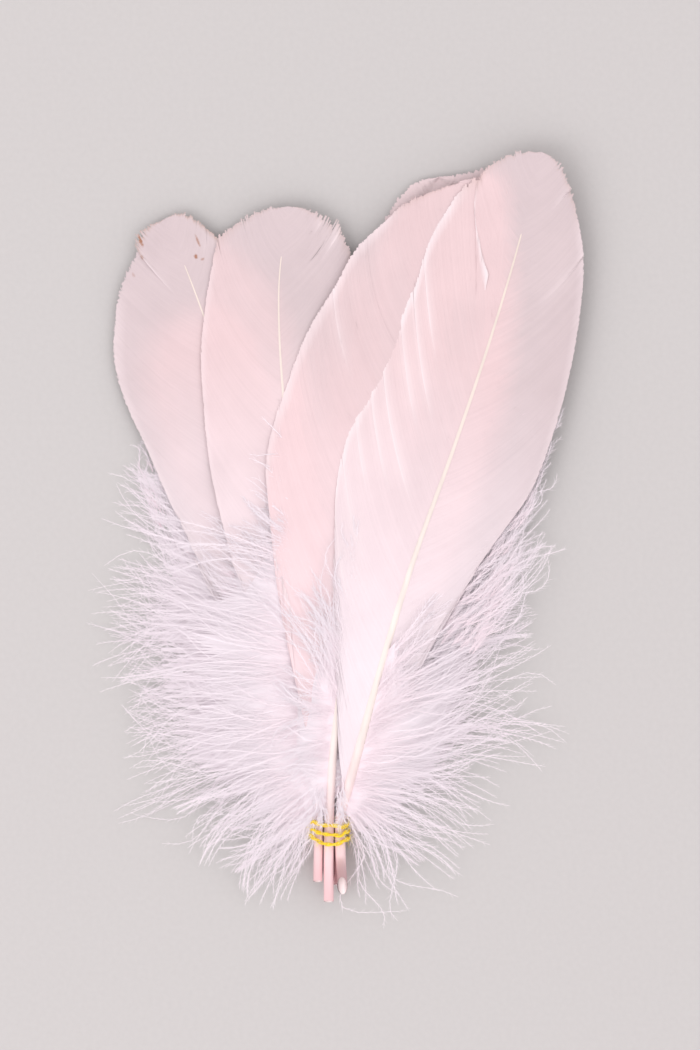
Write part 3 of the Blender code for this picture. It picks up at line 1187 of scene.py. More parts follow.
@dataclass(frozen=True)
class Fan:
    """A run of down along one side of a shaft: locks of strands, on a bed of short soft down.

    rows holds (distance of the root from the tie along Y, heading in degrees from +Y, length). out is how
    far from the shaft the roots lie. over is 1 for down that starts on top of the vane and 0 for down
    that starts beneath it. rise is how far it puffs up, and settle the range of heights that it comes
    down to. tuft is how many strands lie on a lock, and gather how far they draw together. bend is how
    far the locks curve, in degrees. barbules is how many each strand has. bed is how many slips the sheet
    under the strands is made of, and cover how far out it goes, as a share of the strands' length.
    """

    side: Side
    rows: tuple
    strands: int
    out: float = 0.0
    rise: float = 2.0
    settle: tuple = (1.2, 2.2)
    over: float = 1.0
    tuft: int = 9
    bend: float = 26.0
    gather: float = 0.45
    barbules: int = 56
    bed: int = 90
    cover: float = 0.66

    def lay(self, feather: Feather, rng: np.random.Generator) -> np.ndarray:
        """Lines of the strands.

        Each strand has its lock's own heading, bend, length and height, and a little of its own, and
        it draws in towards the middle of its lock. The locks thin out towards the top of the run: the
        place of the lock at share u of them is 1 - (1 - u)^0.6.

        Args:
            feather: The feather that the down grows on.
            rng: The feather's random numbers.

        Returns:
            (strand, ring, 3) places.
        """
        tufts = math.ceil(self.strands / self.tuft)
        place = 1.0 - (1.0 - (np.arange(tufts) + rng.random(tufts)) / tufts) ** 0.6
        shared = rng.normal(0.0, 1.0, (tufts, 4))
        shared = np.column_stack((shared, 0.5 * rng.random(tufts) ** 1.3, rng.uniform(*self.settle, tufts)))
        locks = self.lines(feather, place, shared, np.zeros((tufts, 6)))
        tuft = np.arange(self.strands) // self.tuft
        own = rng.normal(0.0, 1.0, (self.strands, 6))
        near = np.clip(place[tuft] + rng.uniform(-1.0, 1.0, self.strands) / tufts, 0.0, 1.0)
        strands = self.lines(feather, near, shared[tuft], own)
        gather = np.clip(self.gather + 0.25 * shared[tuft, 3], 0.1, 0.95)
        t = np.linspace(0.0, 1.0, STRAND_RINGS)
        draw = (gather[:, None] * smooth_step(0.15, 0.9, t))[..., None]
        return strands * (1.0 - draw) + locks[tuft] * draw

    def lay_bed(self, feather: Feather, rng: np.random.Generator) -> np.ndarray:
        """Lines between the slips of the bed, which lies among the lowest strands and is smoother.

        A line's length is cover times the strands', and it is less at the start of the run and over its
        last half.

        Args:
            feather: The feather that the down grows on.
            rng: The feather's random numbers.

        Returns:
            (line, ring, 3) places, one line more than there are slips.
        """
        place = np.linspace(0.0, 1.0, self.bed + 1)
        knots = np.linspace(0.0, 1.0, 9)
        slow = smooth_values(np.column_stack((knots, rng.normal(0.0, 0.5, (9, 3)))), place)
        fade = (0.45 + 0.55 * smooth_step(0.0, 0.3, place)) * (1.0 - 0.6 * smooth_step(0.5, 1.0, place))
        short = 1.0 - self.cover * fade
        low = np.full(self.bed + 1, 0.6 * self.settle[0] + 0.4 * self.settle[1])
        gather = np.zeros_like(low)
        shared = np.column_stack((slow[:, 0], 0.3 * slow[:, 1], 0.3 * slow[:, 2], gather, short, low))
        return self.lines(feather, place, shared, np.zeros((self.bed + 1, 6)))

    def lines(self, feather: Feather, place: np.ndarray, shared: np.ndarray, own: np.ndarray) -> np.ndarray:
        """Lines that start at shares of the run.

        A line's heading turns evenly by its bend, and the line is the running sum of steps along that
        heading, with a slow wave across that grows towards the tip. Its height crosses over from the
        root's to the tip's, plus rise * sin(pi t^0.7). The root lies just over the shaft and the vane
        where over is 1. Where it is 0, it lies 0.2 over the feather's underside, less
        ROOT_DROOP * (aside / DROOP_SPAN)^2.

        Args:
            feather: The feather that the down grows on.
            place: Shares of the run, 0 to 1.
            shared: What the strands of a lock share: turn, bend, rise, gather, shortness and tip height.
            own: What each has of its own: turn, bend, length, rise, pace and phase of the wave.

        Returns:
            (line, ring, 3) places.
        """
        t = np.linspace(0.0, 1.0, STRAND_RINGS)
        root_y = self.rows[0][0] + (self.rows[-1][0] - self.rows[0][0]) * place
        heading, length = smooth_values(self.rows, root_y).T
        turned = heading + LOCK_TURN * shared[:, 0] + STRAND_TURN * own[:, 0]
        bend = self.bend * shared[:, 1] + STRAND_BEND * own[:, 1] + EVEN_BEND
        angles = np.radians(turned[:, None] + bend[:, None] * (t - 0.3))
        reach = length * np.clip(1.0 - shared[:, 4] + 0.1 * own[:, 2], 0.2, 1.12)
        steps = np.stack((self.side.value * np.sin(angles), np.cos(angles)), -1)
        steps = steps * (reach / (STRAND_RINGS - 1))[:, None, None]
        distance = feather.spine.distance_at(root_y)
        aside = 0.5 * feather.radius(distance) + self.out * (1.0 + 0.3 * np.sin(9.0 * own[:, 4]))
        root = feather.spine.plan(distance, self.side.value * aside)
        plan = root[:, None] + np.cumsum(steps, axis=1) - steps[:, :1]
        wave = own[:, 3:4] * np.sin(t * (6.0 + 2.5 * own[:, 4:5]) + 3.0 * own[:, 5:6])
        plan = plan + (1.2 * wave * t)[..., None] * np.stack((steps[..., 1], -steps[..., 0]), -1)
        under = feather.underside(root_y)
        over = np.maximum(feather.shaft_height(distance, root_y) + 0.1, under + CROWN + 0.15)
        beneath = under + 0.2 - ROOT_DROOP * (aside / DROOP_SPAN) ** 2
        base = self.over * over + (1.0 - self.over) * beneath
        puff = self.rise * np.clip(0.75 + 0.2 * shared[:, 2] + 0.1 * own[:, 3], 0.0, 1.5)
        down = smooth_step(0.2, 1.0, t)
        height = base[:, None] * (1.0 - down) + (shared[:, 5] + 0.15 * own[:, 5])[:, None] * down
        height = height + puff[:, None] * np.sin(math.pi * t**0.7)
        return np.concatenate((plan, np.maximum(height, LOWEST_STRAND)[..., None]), -1)


@dataclass
class Down:
    """Down on given lines, and where it stands among all the down of its feather.

    lines is (strand, ring, 3), first the number of the first strand and total the number of strands and
    slips on the feather's map. tilt is how unevenly they are lit, shade how far their shades differ, and
    deep what their shades are on the whole, which in the bed is a painted shade.
    """

    lines: np.ndarray
    first: int
    total: int
    rng: np.random.Generator
    tilt: float = 0.12
    shade: float = 1.0
    deep: float = 0.0

    def __post_init__(self) -> None:
        """Draws each strand's shade and the direction that it is lit from."""
        count = len(self.lines)
        self.t = np.linspace(0.0, 1.0, self.lines.shape[1])
        self.grain = self.deep + self.shade * self.rng.uniform(-1.0, 1.0, count)
        self.facing = np.column_stack((self.rng.normal(0.0, self.tilt, (count, 2)), np.ones(count)))

    def lit_from(self, corners: np.ndarray, repeats: int) -> np.ndarray:
        """Directions that points are lit from: about up, and about down where corners is -1."""
        facing = self.facing[:, None, None] * np.where(corners < 0, -1.0, 1.0)[:, None]
        return unit(np.broadcast_to(facing, (len(facing), repeats, len(corners), 3)).reshape(-1, 3))

    def ribbons(self, half: np.ndarray, thick: float) -> Surface:
        """Flat-topped closed ribbons on the lines.

        Args:
            half: Their half widths at the rings.
            thick: How deep they are, where they are wide enough.

        Returns:
            The ribbons as one surface.
        """
        count, rings = self.lines.shape[:2]
        up = np.broadcast_to((0.0, 0.0, 1.0), self.lines.shape)
        half = np.broadcast_to(half, (count, rings))
        height = np.minimum(np.full_like(half, thick), half)
        return self.laid(tubes(self.lines, up, KEELED, half, height), np.ones(3))

    def laid(self, points: np.ndarray, lit: np.ndarray) -> Surface:
        """Keeled strips with their marks and the directions that they are lit from.

        Args:
            points: (count, rings, 3, 3) points.
            lit: One number for each corner, under 0 where it is lit from below.

        Returns:
            The strips as one surface.
        """
        count, rings = points.shape[:2]
        along, grain = np.tile(np.repeat(self.t, 3), count), np.repeat(self.grain[:count], rings * 3)
        marks, normals = {"along": along, "grain": grain}, self.lit_from(lit, rings)
        return strips(points, self.first, self.total, 1, self.t, KEELED_SHARES, marks, normals)

    def sheet(self, side: Side) -> Surface:
        """A bed of closed slips: slip i spans lines i and i + 1, with a keel below.

        A slip narrows to a point over the last part of its length, which starts at a random share of it
        from 0.62 to 0.9, so that the bed's edge is torn.

        Args:
            side: The side of the shaft that the lines run out to.

        Returns:
            The bed as one surface.
        """
        left, right = (self.lines[:-1], self.lines[1:])[:: int(-side.value)]
        count = len(left)
        narrow = smooth_step(0.0, 1.0, (self.t - self.rng.uniform(0.62, 0.9, (count, 1))) / 0.25)[..., None]
        middle = 0.5 * (left + right)
        keel = middle - (0.0, 0.0, 0.15)
        ends = [side * (1.0 - 0.97 * narrow) + middle * 0.97 * narrow for side in (right, left)]
        self.facing = self.facing[:count]
        return self.laid(np.stack((keel, *ends), 2), KEELED[:, 1])

    def fringe(self, barbules: int) -> Surface:
        """Barbules: thin flat spikes at even shares of the strand, by turns on its two sides.

        Each leans 12 to 42 degrees from the strand, and they shorten as 0.7 + 1.6 * sqrt(1 - place).

        Args:
            barbules: How many each strand has.

        Returns:
            All the barbules as one surface.
        """
        lines, rng, count, rings = self.lines, self.rng, *self.lines.shape[:2]
        order = np.arange(barbules)
        place = 0.03 + 0.95 * (order + rng.random((count, barbules))) / barbules
        ring = np.minimum((place * (rings - 1)).astype(int), rings - 2)
        part = (place * (rings - 1) - ring)[..., None]
        strand = np.arange(count)[:, None]
        near, far = lines[strand, ring], lines[strand, ring + 1]
        root = near * (1.0 - part) + far * part
        travel = unit(far - near)
        aside = unit(np.cross(travel, (0.0, 0.0, 1.0)))
        over = np.cross(aside, travel)
        lean = np.radians(rng.uniform(12.0, 42.0, (count, barbules, 1)))
        roll = np.radians(rng.uniform(-20.0, 40.0, (count, barbules, 1)))
        flip = np.where(order % 2 == 0, 1.0, -1.0)[None, :, None]
        outward = (aside * np.cos(roll) * flip + over * np.sin(roll)) * np.sin(lean)
        direction = travel * np.cos(lean) + outward
        size = (0.7 + 1.6 * np.sqrt(1.0 - place)) * rng.uniform(0.6, 1.3, place.shape)
        flat = unit(np.cross(over, direction))
        deep = np.cross(direction, flat)
        wide = BARBULE_WIDTH * (1.0 - 0.4 * place)[..., None]
        base = [root + wide * x * flat + BARBULE_DEPTH * y * deep for x, y in KEELED]
        apex = root + direction * size[..., None]
        apex[..., 2] = np.maximum(apex[..., 2], LOWEST_BARBULE)
        index = np.arange(count * barbules)[:, None] * 4
        corners = ((0, 2, 1), (0, 1, 3), (1, 2, 3), (2, 0, 3))
        number = np.broadcast_to(strand[..., None] + self.first, (count, barbules, 4))
        share = np.broadcast_to((*KEELED_SHARES, 0.5), number.shape)
        along = place[..., None] + np.array((0.0, 0.0, 0.0, 0.02))
        return Surface(
            points=np.stack((*base, apex), 2).reshape(-1, 3),
            quads=np.zeros((0, 4), int),
            triangles=np.concatenate([index + corner for corner in corners]),
            uv=strip_uv(number, self.total, 1, along, share),
            marks={"along": along.ravel(), "grain": np.repeat(self.grain, barbules * 4)},
            normals=self.lit_from(np.ones(4), barbules),
        )


@dataclass
class Cover:
    """A plan of how many vanes lie under each place, on square cells of a millimetre.

    low is the plan's lowest corner, cells how many it has each way, and blur how many cells far it is
    softened.
    """

    feathers: list
    low: tuple = (-60.0, -30.0)
    cells: tuple = (125, 190)
    blur: int = 3

    def __post_init__(self) -> None:
        """Lays each vane's plan: 1 where it has barbs, softened over a few cells."""
        self.plans = {feather.name: self.soften(self.fill(feather)) for feather in self.feathers}

    def cell(self, places: np.ndarray) -> tuple[np.ndarray, np.ndarray]:
        """The cell of each place."""
        index = np.floor(places[..., :2] - np.array(self.low)).astype(int)
        return np.clip(index[..., 0], 0, self.cells[0] - 1), np.clip(index[..., 1], 0, self.cells[1] - 1)

    def fill(self, feather: Feather) -> np.ndarray:
        """Marks the cells that a feather's barbs pass through.

        Args:
            feather: The feather, with its barbs laid.

        Returns:
            1 in each such cell, and 0 elsewhere.
        """
        plan = np.zeros(self.cells)
        for barbs in feather.barbs:
            plan[self.cell(barbs.centres)] = 1.0
        return plan

    def soften(self, plan: np.ndarray) -> np.ndarray:
        """Softens a plan.

        Args:
            plan: The plan.

        Returns:
            The mean over a square of cells round each cell.
        """
        reach = range(-self.blur, self.blur + 1)
        near = [np.roll(plan, (x, y), (0, 1)) for x in reach for y in reach]
        return np.mean(near, axis=0)

    def under(self, feather: Feather, places: np.ndarray) -> np.ndarray:
        """Counts the vanes of lower feathers under each place.

        Args:
            feather: The feather that the places are on.
            places: Plan places.

        Returns:
            The counts, softened at the vanes' edges.
        """
        total = np.zeros(places.shape[:-1])
        for other in self.feathers:
            if (other.level, other.name) < (feather.level, feather.name):
                total += self.plans[other.name][self.cell(places)]
        return total


# --- The six feathers -------------------------------------------------------------------------------


def front_feather() -> Feather:
    """The long feather on top, whose left vane is split into a tip lobe and long loose locks.

    Returns:
        The feather.
    """
    # The locks' lips carry a strong painted highlight.
    locks = tuple(
        Split(root, gap=-0.3 * lap, start=start, reach=4.0, lift=0.06, glow=0.95)
        for root, lap, start in (
            (50, 0.3, 0.6), (61, 0.45, 0.5), (69, 0.2, 0.7), (76, 0.4, 0.55), (82, 0.5, 0.3),
            (91, 0.35, 0.5), (97, 0.5, 0.4), (104, 0.3, 0.6),
        )
    )
    return Feather(
        name="front",
        spine=Spine((
            (2.9, -13.9), (2.35, -3.0), (2.4, 3.0), (4.2, 10.0), (6.9, 20.0), (9.6, 30.0), (17.7, 57.6),
            (27.4, 84.7), (35.3, 108.2), (42.0, 131.0), (46.3, 148.9),
        )),
        row=Row.HIGH, level=4, quill_radius=1.15, cut=4.0, seed=1,
        finish=VaneFinish(downy=(0.88, 0.76, 0.815)),
        webs=(
            Web(
                Side.LEFT,
                outline=(
                    (50, 9.4), (58, 12), (66, 14.6), (75.5, 18), (84.4, 21.1), (96.3, 22.7), (107.3, 21.6),
                    (120.9, 20.7), (133.6, 19.2), (144.4, 18.9), (152.1, 17), (157.5, 14.9), (159.4, 13.2),
                    (163, 9), (165, 4),
                ),
                roots=(23, 132), sag=1.8, straight=0.85, drop=1.45, edge=0.9, splits=locks, hold=54,
                loose=0.4, nicks=0,
            ),
            Web(
                Side.LEFT, nicks=7,
                outline=(
                    (140.3, 4.6), (142.1, 5.9), (147.3, 8.7), (151.5, 10.6), (155.9, 11.8), (159.4, 11.9),
                    (162.8, 10.9), (165.5, 8.2), (168.0, 4.4), (169.1, 0.2),
                ),
                roots=(108, 168.4), tuck=0.35, lift=0.1, glow=0.8, base=0.12, drop=1.45, loose=0.0,
                edge=0.9,
            ),
            Web(
                Side.RIGHT,
                outline=(
                    (57, 8.4), (69.6, 11.6), (80.2, 14.1), (88.2, 16.3), (97.6, 18.9), (112.4, 19.6),
                    (131.5, 18.1), (140.4, 16.7), (149.7, 14.4), (156.1, 11.6), (160.9, 9.2), (164.5, 6.9),
                    (167.6, 4.3), (168.9, 1.7), (169.2, 0.1),
                ),
                hold=56, loose=0.4, drop=3.4,
                splits=(Split(128, 0.5, 0.6, 1.5, 0.1, 0.4), Split(151, 0.7, 0.7, 2.0, 0.15, 0.3)), nicks=4,
            ),
        ),
        hidden=15.0,
        fans=(
            Fan(
                Side.RIGHT,
                rows=(
                    (5, 150, 18), (6, 136, 25), (8, 106, 30), (10, 90, 33), (14, 74, 37), (20, 64, 41),
                    (30, 56, 40), (40, 50, 34),
                ),
                strands=230, rise=1.2, settle=(1.8, 3.0),
            ),
            Fan(
                Side.RIGHT, rows=((26, 58, 41), (38, 52, 40), (50, 46, 34), (58, 42, 26)), strands=150,
                rise=0.4, settle=(1.6, 2.6), over=0.0,
            ),
            Fan(
                Side.RIGHT, rows=((44, 47, 26), (56, 42, 22), (68, 37, 18), (78, 34, 12)), strands=110,
                out=14.0, rise=0.1, settle=(2.5, 3.8), over=0.0, bed=0,
            ),
            Fan(
                Side.RIGHT, rows=((72, 40, 15), (84, 36, 13), (97, 30, 9)), strands=54, out=14.5, rise=0.0,
                settle=(3.0, 4.0), over=0.0, tuft=3, barbules=24, bed=0,
            ),
            Fan(
                Side.LEFT, rows=((26, 26, 26), (40, 10, 30), (54, -4, 28)), strands=60, out=8.0, rise=0.2,
                settle=(7.6, 8.4), over=0.0, bed=0,
            ),
        ),
    )


def wisp(side: Side, rows: tuple) -> Fan:
    """A few thin strands that hang over the tie.

    Args:
        side: The side of the shaft they leave.
        rows: Their (root, heading, length) rows.

    Returns:
        The fan.
    """
    return Fan(
        side, rows, strands=24, out=1.5, rise=0.8, settle=(7.1, 7.7), tuft=3, barbules=12, bed=0
    )


def second_feather() -> Feather:
    """The broad feather beside it, mostly under the front one.

    Returns:
        The feather.
    """
    return Feather(
        name="second",
        spine=Spine((
            (-0.2, -15.6), (-0.15, 0.0), (0.6, 16.0), (1.9, 28.0), (5.0, 50.6), (10.7, 77.0), (16.0, 101.0),
            (20.8, 119.0), (25.4, 133.0), (29.4, 143.4),
        )),
        row=Row.HIGH, level=3, quill_radius=1.1, seed=2,
        finish=VaneFinish(layered_glowing=(0.80, 0.575, 0.595), downy=(0.92, 0.71, 0.75)), hidden=40.0,
        webs=(
            Web(
                Side.LEFT,
                outline=(
                    (62, 12.5), (72.2, 18), (84, 22.6), (90.1, 24.5), (99.5, 25.1), (108.4, 24.1),
                    (122.7, 21.9), (131.3, 19.1), (140.7, 16.7), (148, 12.6), (151.9, 10.4), (155.1, 7.3),
                    (158.3, 3.8), (161.2, 0.2),
                ),
                splits=(Split(102, -0.1, 0.66, 3.0, 0.06, 0.6),), hold=48, loose=0.15, drop=0.9, nicks=0,
                edge=0.6,
            ),
            Web(
                Side.RIGHT,
                outline=(
                    (66.9, 14), (81.5, 16.7), (93, 18.6), (106.8, 20.2), (119, 20.9), (130.9, 20.2),
                    (142.3, 18.1), (152.9, 13.5), (160.2, 9.2), (163.4, 6.6), (164.3, 4.4), (163.2, 2.4),
                    (161.8, 0.2),
                ),
            ),
        ),
        fans=(
            Fan(
                Side.LEFT, rows=((8, 130, 18), (14, 108, 20), (24, 84, 22), (34, 64, 24), (46, 46, 22)),
                strands=84, bed=40, cover=0.5, rise=0.9, settle=(4.5, 7.5),
            ),
            Fan(
                Side.LEFT, rows=((44, 50, 30), (56, 40, 28), (66, 32, 20)), strands=60, rise=0.2,
                settle=(4.5, 6.0), over=0.0,
            ),
            Fan(
                Side.RIGHT, rows=((8, 60, 14), (30, 40, 20), (46, 25, 20)), strands=120, rise=0.6, over=0.0,
            ),
            wisp(Side.LEFT, ((5, 186, 5), (9, 180, 7), (13, 174, 8))),
            wisp(Side.RIGHT, ((5, 176, 5), (9, 172, 7), (13, 166, 8))),
        ),
    )


def tucked_feather() -> Feather:
    """The feather at the bottom right, which shows above the second one's tip.

    Returns:
        The feather.
    """
    return Feather(
        name="tucked",
        spine=Spine((
            (1.9, -12.1), (2.25, 0.0), (3.4, 16.0), (5.9, 28.0), (10.0, 46.0), (15.0, 68.0), (18.8, 90.0),
            (21.3, 110.0), (22.8, 128.0), (23.9, 143.4),
        )),
        row=Row.LOW, level=0, quill_radius=1.05, spacing=0.6, seed=3,
        # Its single vane is lighter, a painted light against the shadow of the feathers above it.
        finish=VaneFinish(alone_shaded=(0.78, 0.62, 0.64)),
        webs=(
            Web(
                Side.LEFT,
                outline=(
                    (76, 9.4), (84.1, 11.2), (95.1, 13.1), (106.6, 14.3), (118, 14.4), (129.5, 14),
                    (140.5, 12.7), (147, 11), (149.4, 10), (152.7, 8.1), (154.8, 6), (156.3, 3.9),
                    (157.5, 0.2),
                ),
                tip_shadow=0.0, edge=0.9, base=0.7, drop=0.0,
            ),
            Web(
                Side.RIGHT,
                outline=(
                    (73.4, 13.5), (84.5, 15.5), (97.9, 17.6), (110.9, 17.9), (123.6, 17.5), (136.2, 16.3),
                    (146.9, 14.4), (156, 13.4), (159.6, 10.4), (159.2, 8), (158.3, 5), (157.6, 0.2),
                ),
                tip_shadow=0.0, edge=0.9, base=0.7, drop=0.0,
            ),
        ),
        fans=(
            Fan(
                Side.RIGHT,
                rows=(
                    (5, 160, 22), (6, 140, 29), (8, 112, 34), (12, 88, 40), (18, 74, 44), (28, 64, 45),
                    (42, 55, 42), (56, 48, 36),
                ),
                strands=215, rise=1.2,
            ),
            Fan(Side.LEFT, rows=((8, 90, 12), (40, 50, 18)), strands=30, rise=0.4),
        ),
    )


def left_feather() -> Feather:
    """The feather with the round top, left of the middle.

    Returns:
        The feather.
    """
    return Feather(
        name="left",
        spine=Spine((
            (-2.6, -11.2), (-2.5, 0.0), (-2.7, 16.0), (-3.0, 28.6), (-4.8, 48.4), (-7.0, 66.0),
            (-8.8, 81.4), (-10.2, 96.0), (-11.0, 108.0), (-11.1, 120.0), (-9.2, 136.8),
        )),
        row=Row.HIGH, level=2, quill_radius=1.0, seed=4,
        webs=(
            Web(
                Side.LEFT,
                outline=(
                    (52, 9.5), (61, 12), (70.4, 14.2), (81.6, 16.3), (94.2, 17.5), (106.1, 17.6),
                    (116.6, 17.4), (125.5, 16.3), (134.4, 14.9), (140.1, 13.9), (143.1, 11), (145.7, 8),
                    (147.5, 4.9), (148.4, 1), (148.6, 0.1),
                ),
                nicks=2, hold=56, loose=0.4, drop=1.5,
            ),
            Web(
                Side.RIGHT,
                outline=(
                    (66, 5), (76.3, 8.1), (87.5, 10.5), (100.6, 13), (114.3, 15.1), (126.2, 16.5),
                    (135.9, 16.1), (140.8, 14.7), (143.3, 13.4), (146, 10.8), (147.7, 7.2), (148.7, 2.7),
                    (148.7, 0.2),
                ),
                splits=(Split(127, 0.3, 0.86, 2.5, 0.05, 0.9), Split(135, 0.15, 0.9, 2.0, 0.05, 0.5)),
                nicks=4, loose=0.2, drop=1.8,
            ),
        ),
        fans=(
            Fan(
                Side.LEFT,
                rows=(
                    (5, 172, 20), (6, 152, 25), (9, 126, 29), (14, 108, 35), (24, 96, 41), (34, 88, 43),
                    (42, 80, 41), (52, 70, 36), (62, 60, 30), (72, 50, 24),
                ),
                strands=360, rise=1.6, settle=(2.4, 3.6), bed=120,
            ),
            Fan(
                Side.LEFT, rows=((60, 62, 12), (74, 60, 13), (90, 52, 10)), strands=16, rise=0.4,
                settle=(4.8, 5.6), barbules=8, tuft=3, bed=0,
            ),
            Fan(
                Side.RIGHT, rows=((8, 70, 10), (30, 50, 14), (48, 35, 14)), strands=60, rise=0.5,
                settle=(4.0, 6.0),
            ),
        ),
    )


def creased_feather() -> Feather:
    """The leftmost feather, creased across its left vane near the tip and marked with brown.

    Returns:
        The feather.
    """
    return Feather(
        name="creased",
        spine=Spine((
            (-0.1, -10.6), (-0.1, 0.0), (-2.2, 16.0), (-4.3, 28.6), (-8.0, 50.6), (-13.5, 72.6),
            (-19.8, 92.4), (-25.3, 106.7), (-31.2, 122.5), (-36.0, 134.2),
        )),
        row=Row.LOW, level=1, quill_radius=1.0, seed=5,
        webs=(
            Web(
                Side.LEFT,
                outline=(
                    (48, 11.5), (58, 14), (69.9, 16.8), (80.4, 18.9), (92.8, 21.1), (105.6, 22.1),
                    (112.7, 22.7), (120.6, 22.5), (126.5, 21.4), (131.3, 19.4), (137.6, 16.4),
                    (142.2, 12.5), (145.9, 8.2), (148.6, 4.4), (149.6, 1),
                ),
                hold=60, loose=0.4, tip_shadow=0.0, nicks=0, drop=0.8,
            ),
            Web(
                Side.LEFT,
                outline=(
                    (145.2, 8.2), (146.6, 8.2), (147.7, 7.9), (149.1, 6.8), (150, 3.8), (150.2, 1.4),
                    (150.2, 0.1),
                ),
                roots=(125.5, 149.9), straight=0.9, lift=0.12, glow=0.8, base=0.15, loose=0.0, tip_shadow=0.6,
            ),
            Web(
                Side.RIGHT,
                outline=(
                    (75.9, 6.3), (88.3, 9.4), (101.1, 12.5), (111.2, 14.8), (120.3, 15.9), (128.9, 14.8),
                    (136, 11.8), (142.7, 8.6), (145.2, 7.3), (147.7, 5.9), (149.7, 3.9), (150.4, 1.6),
                    (150.3, 0.1),
                ),
                splits=(Split(128, 0.3, 0.7, 2.0, 0.15, 0.3), Split(134, 0.3, 0.7, 1.5, 0.15, 0.2)),
                tip_shadow=0.6,
            ),
        ),
        stains=(
            (147.9, -6.9, 1.3, 0.35, 0.85), (144.4, -8.0, 0.5, 0.3, 0.45), (140.1, 3.0, 0.5, 0.4, 0.85),
            (139.0, 4.2, 0.3, 0.4, 0.5), (143.0, 4.7, 1.3, 0.25, 0.6), (141.5, -11.2, 0.5, 0.3, 0.3),
        ),
        fans=(
            Fan(
                Side.LEFT,
                rows=(
                    (16, 104, 40), (26, 94, 43), (38, 84, 43), (50, 72, 42), (62, 60, 38), (74, 50, 30),
                    (84, 42, 22),
                ),
                strands=230, rise=0.1, over=0.0, settle=(0.3, 1.2),
            ),
            Fan(
                Side.LEFT, rows=((40, 76, 30), (52, 66, 26), (62, 56, 22), (72, 48, 16), (80, 42, 12)),
                strands=170, out=15.0, rise=0.0, settle=(0.4, 1.4), over=0.0, bed=0,
            ),
            Fan(
                Side.LEFT, rows=((38, 82, 24), (48, 70, 22), (58, 58, 16)), strands=60, out=9.0, rise=0.3,
                settle=(1.4, 2.6), bed=0,
            ),
            Fan(
                Side.LEFT, rows=((72, 44, 15), (81, 40, 12), (90, 36, 8)), strands=54, out=18.5, rise=0.0,
                settle=(0.4, 1.6), over=0.0, tuft=3, barbules=24, bed=0,
            ),
            Fan(Side.RIGHT, rows=((16, 60, 10), (50, 35, 16)), strands=40, rise=0.3, settle=(3.0, 5.0)),
        ),
    )


def bottom_feather() -> Feather:
    """The hidden feather under the creased one, which carries the lowest down on the left.

    Returns:
        The feather.
    """
    return Feather(
        name="bottom",
        spine=Spine((
            (-2.6, -9.9), (-2.4, 0.0), (-5.0, 16.0), (-7.0, 28.6), (-11.4, 50.6), (-18.4, 77.0),
            (-25.3, 97.0), (-31.9, 114.0),
        )),
        row=Row.LOW, level=0, quill_radius=1.0, spacing=0.6, seed=6,
        webs=(
            Web(
                Side.LEFT,
                outline=(
                    (73, 11.4), (85.8, 13.7), (98, 14.5), (107.6, 14.2), (115.6, 13), (121.7, 10.6),
                    (125.2, 7.4), (127.6, 1.5),
                ),
            ),
            Web(
                Side.RIGHT,
                outline=(
                    (68.5, 6.1), (81.4, 8.4), (92.2, 10.2), (103.1, 11), (111.1, 10.8), (118.8, 9.4),
                    (123.6, 6.7), (127.6, 1.5),
                ),
            ),
        ),
        fans=(
            Fan(
                Side.LEFT,
                rows=(
                    (5, 168, 24), (7, 146, 29), (11, 122, 34), (18, 104, 40), (30, 92, 43), (44, 80, 42),
                    (58, 66, 38), (70, 54, 30),
                ),
                strands=205, rise=1.0, settle=(0.3, 2.5),
            ),
            Fan(Side.RIGHT, rows=((8, 80, 10), (50, 35, 14)), strands=30, rise=0.2),
        ),
    )


# --- The tie ----------------------------------------------------------------------------------------


FUZZ_SEED = 70
LOWEST_FIBRE = 0.2


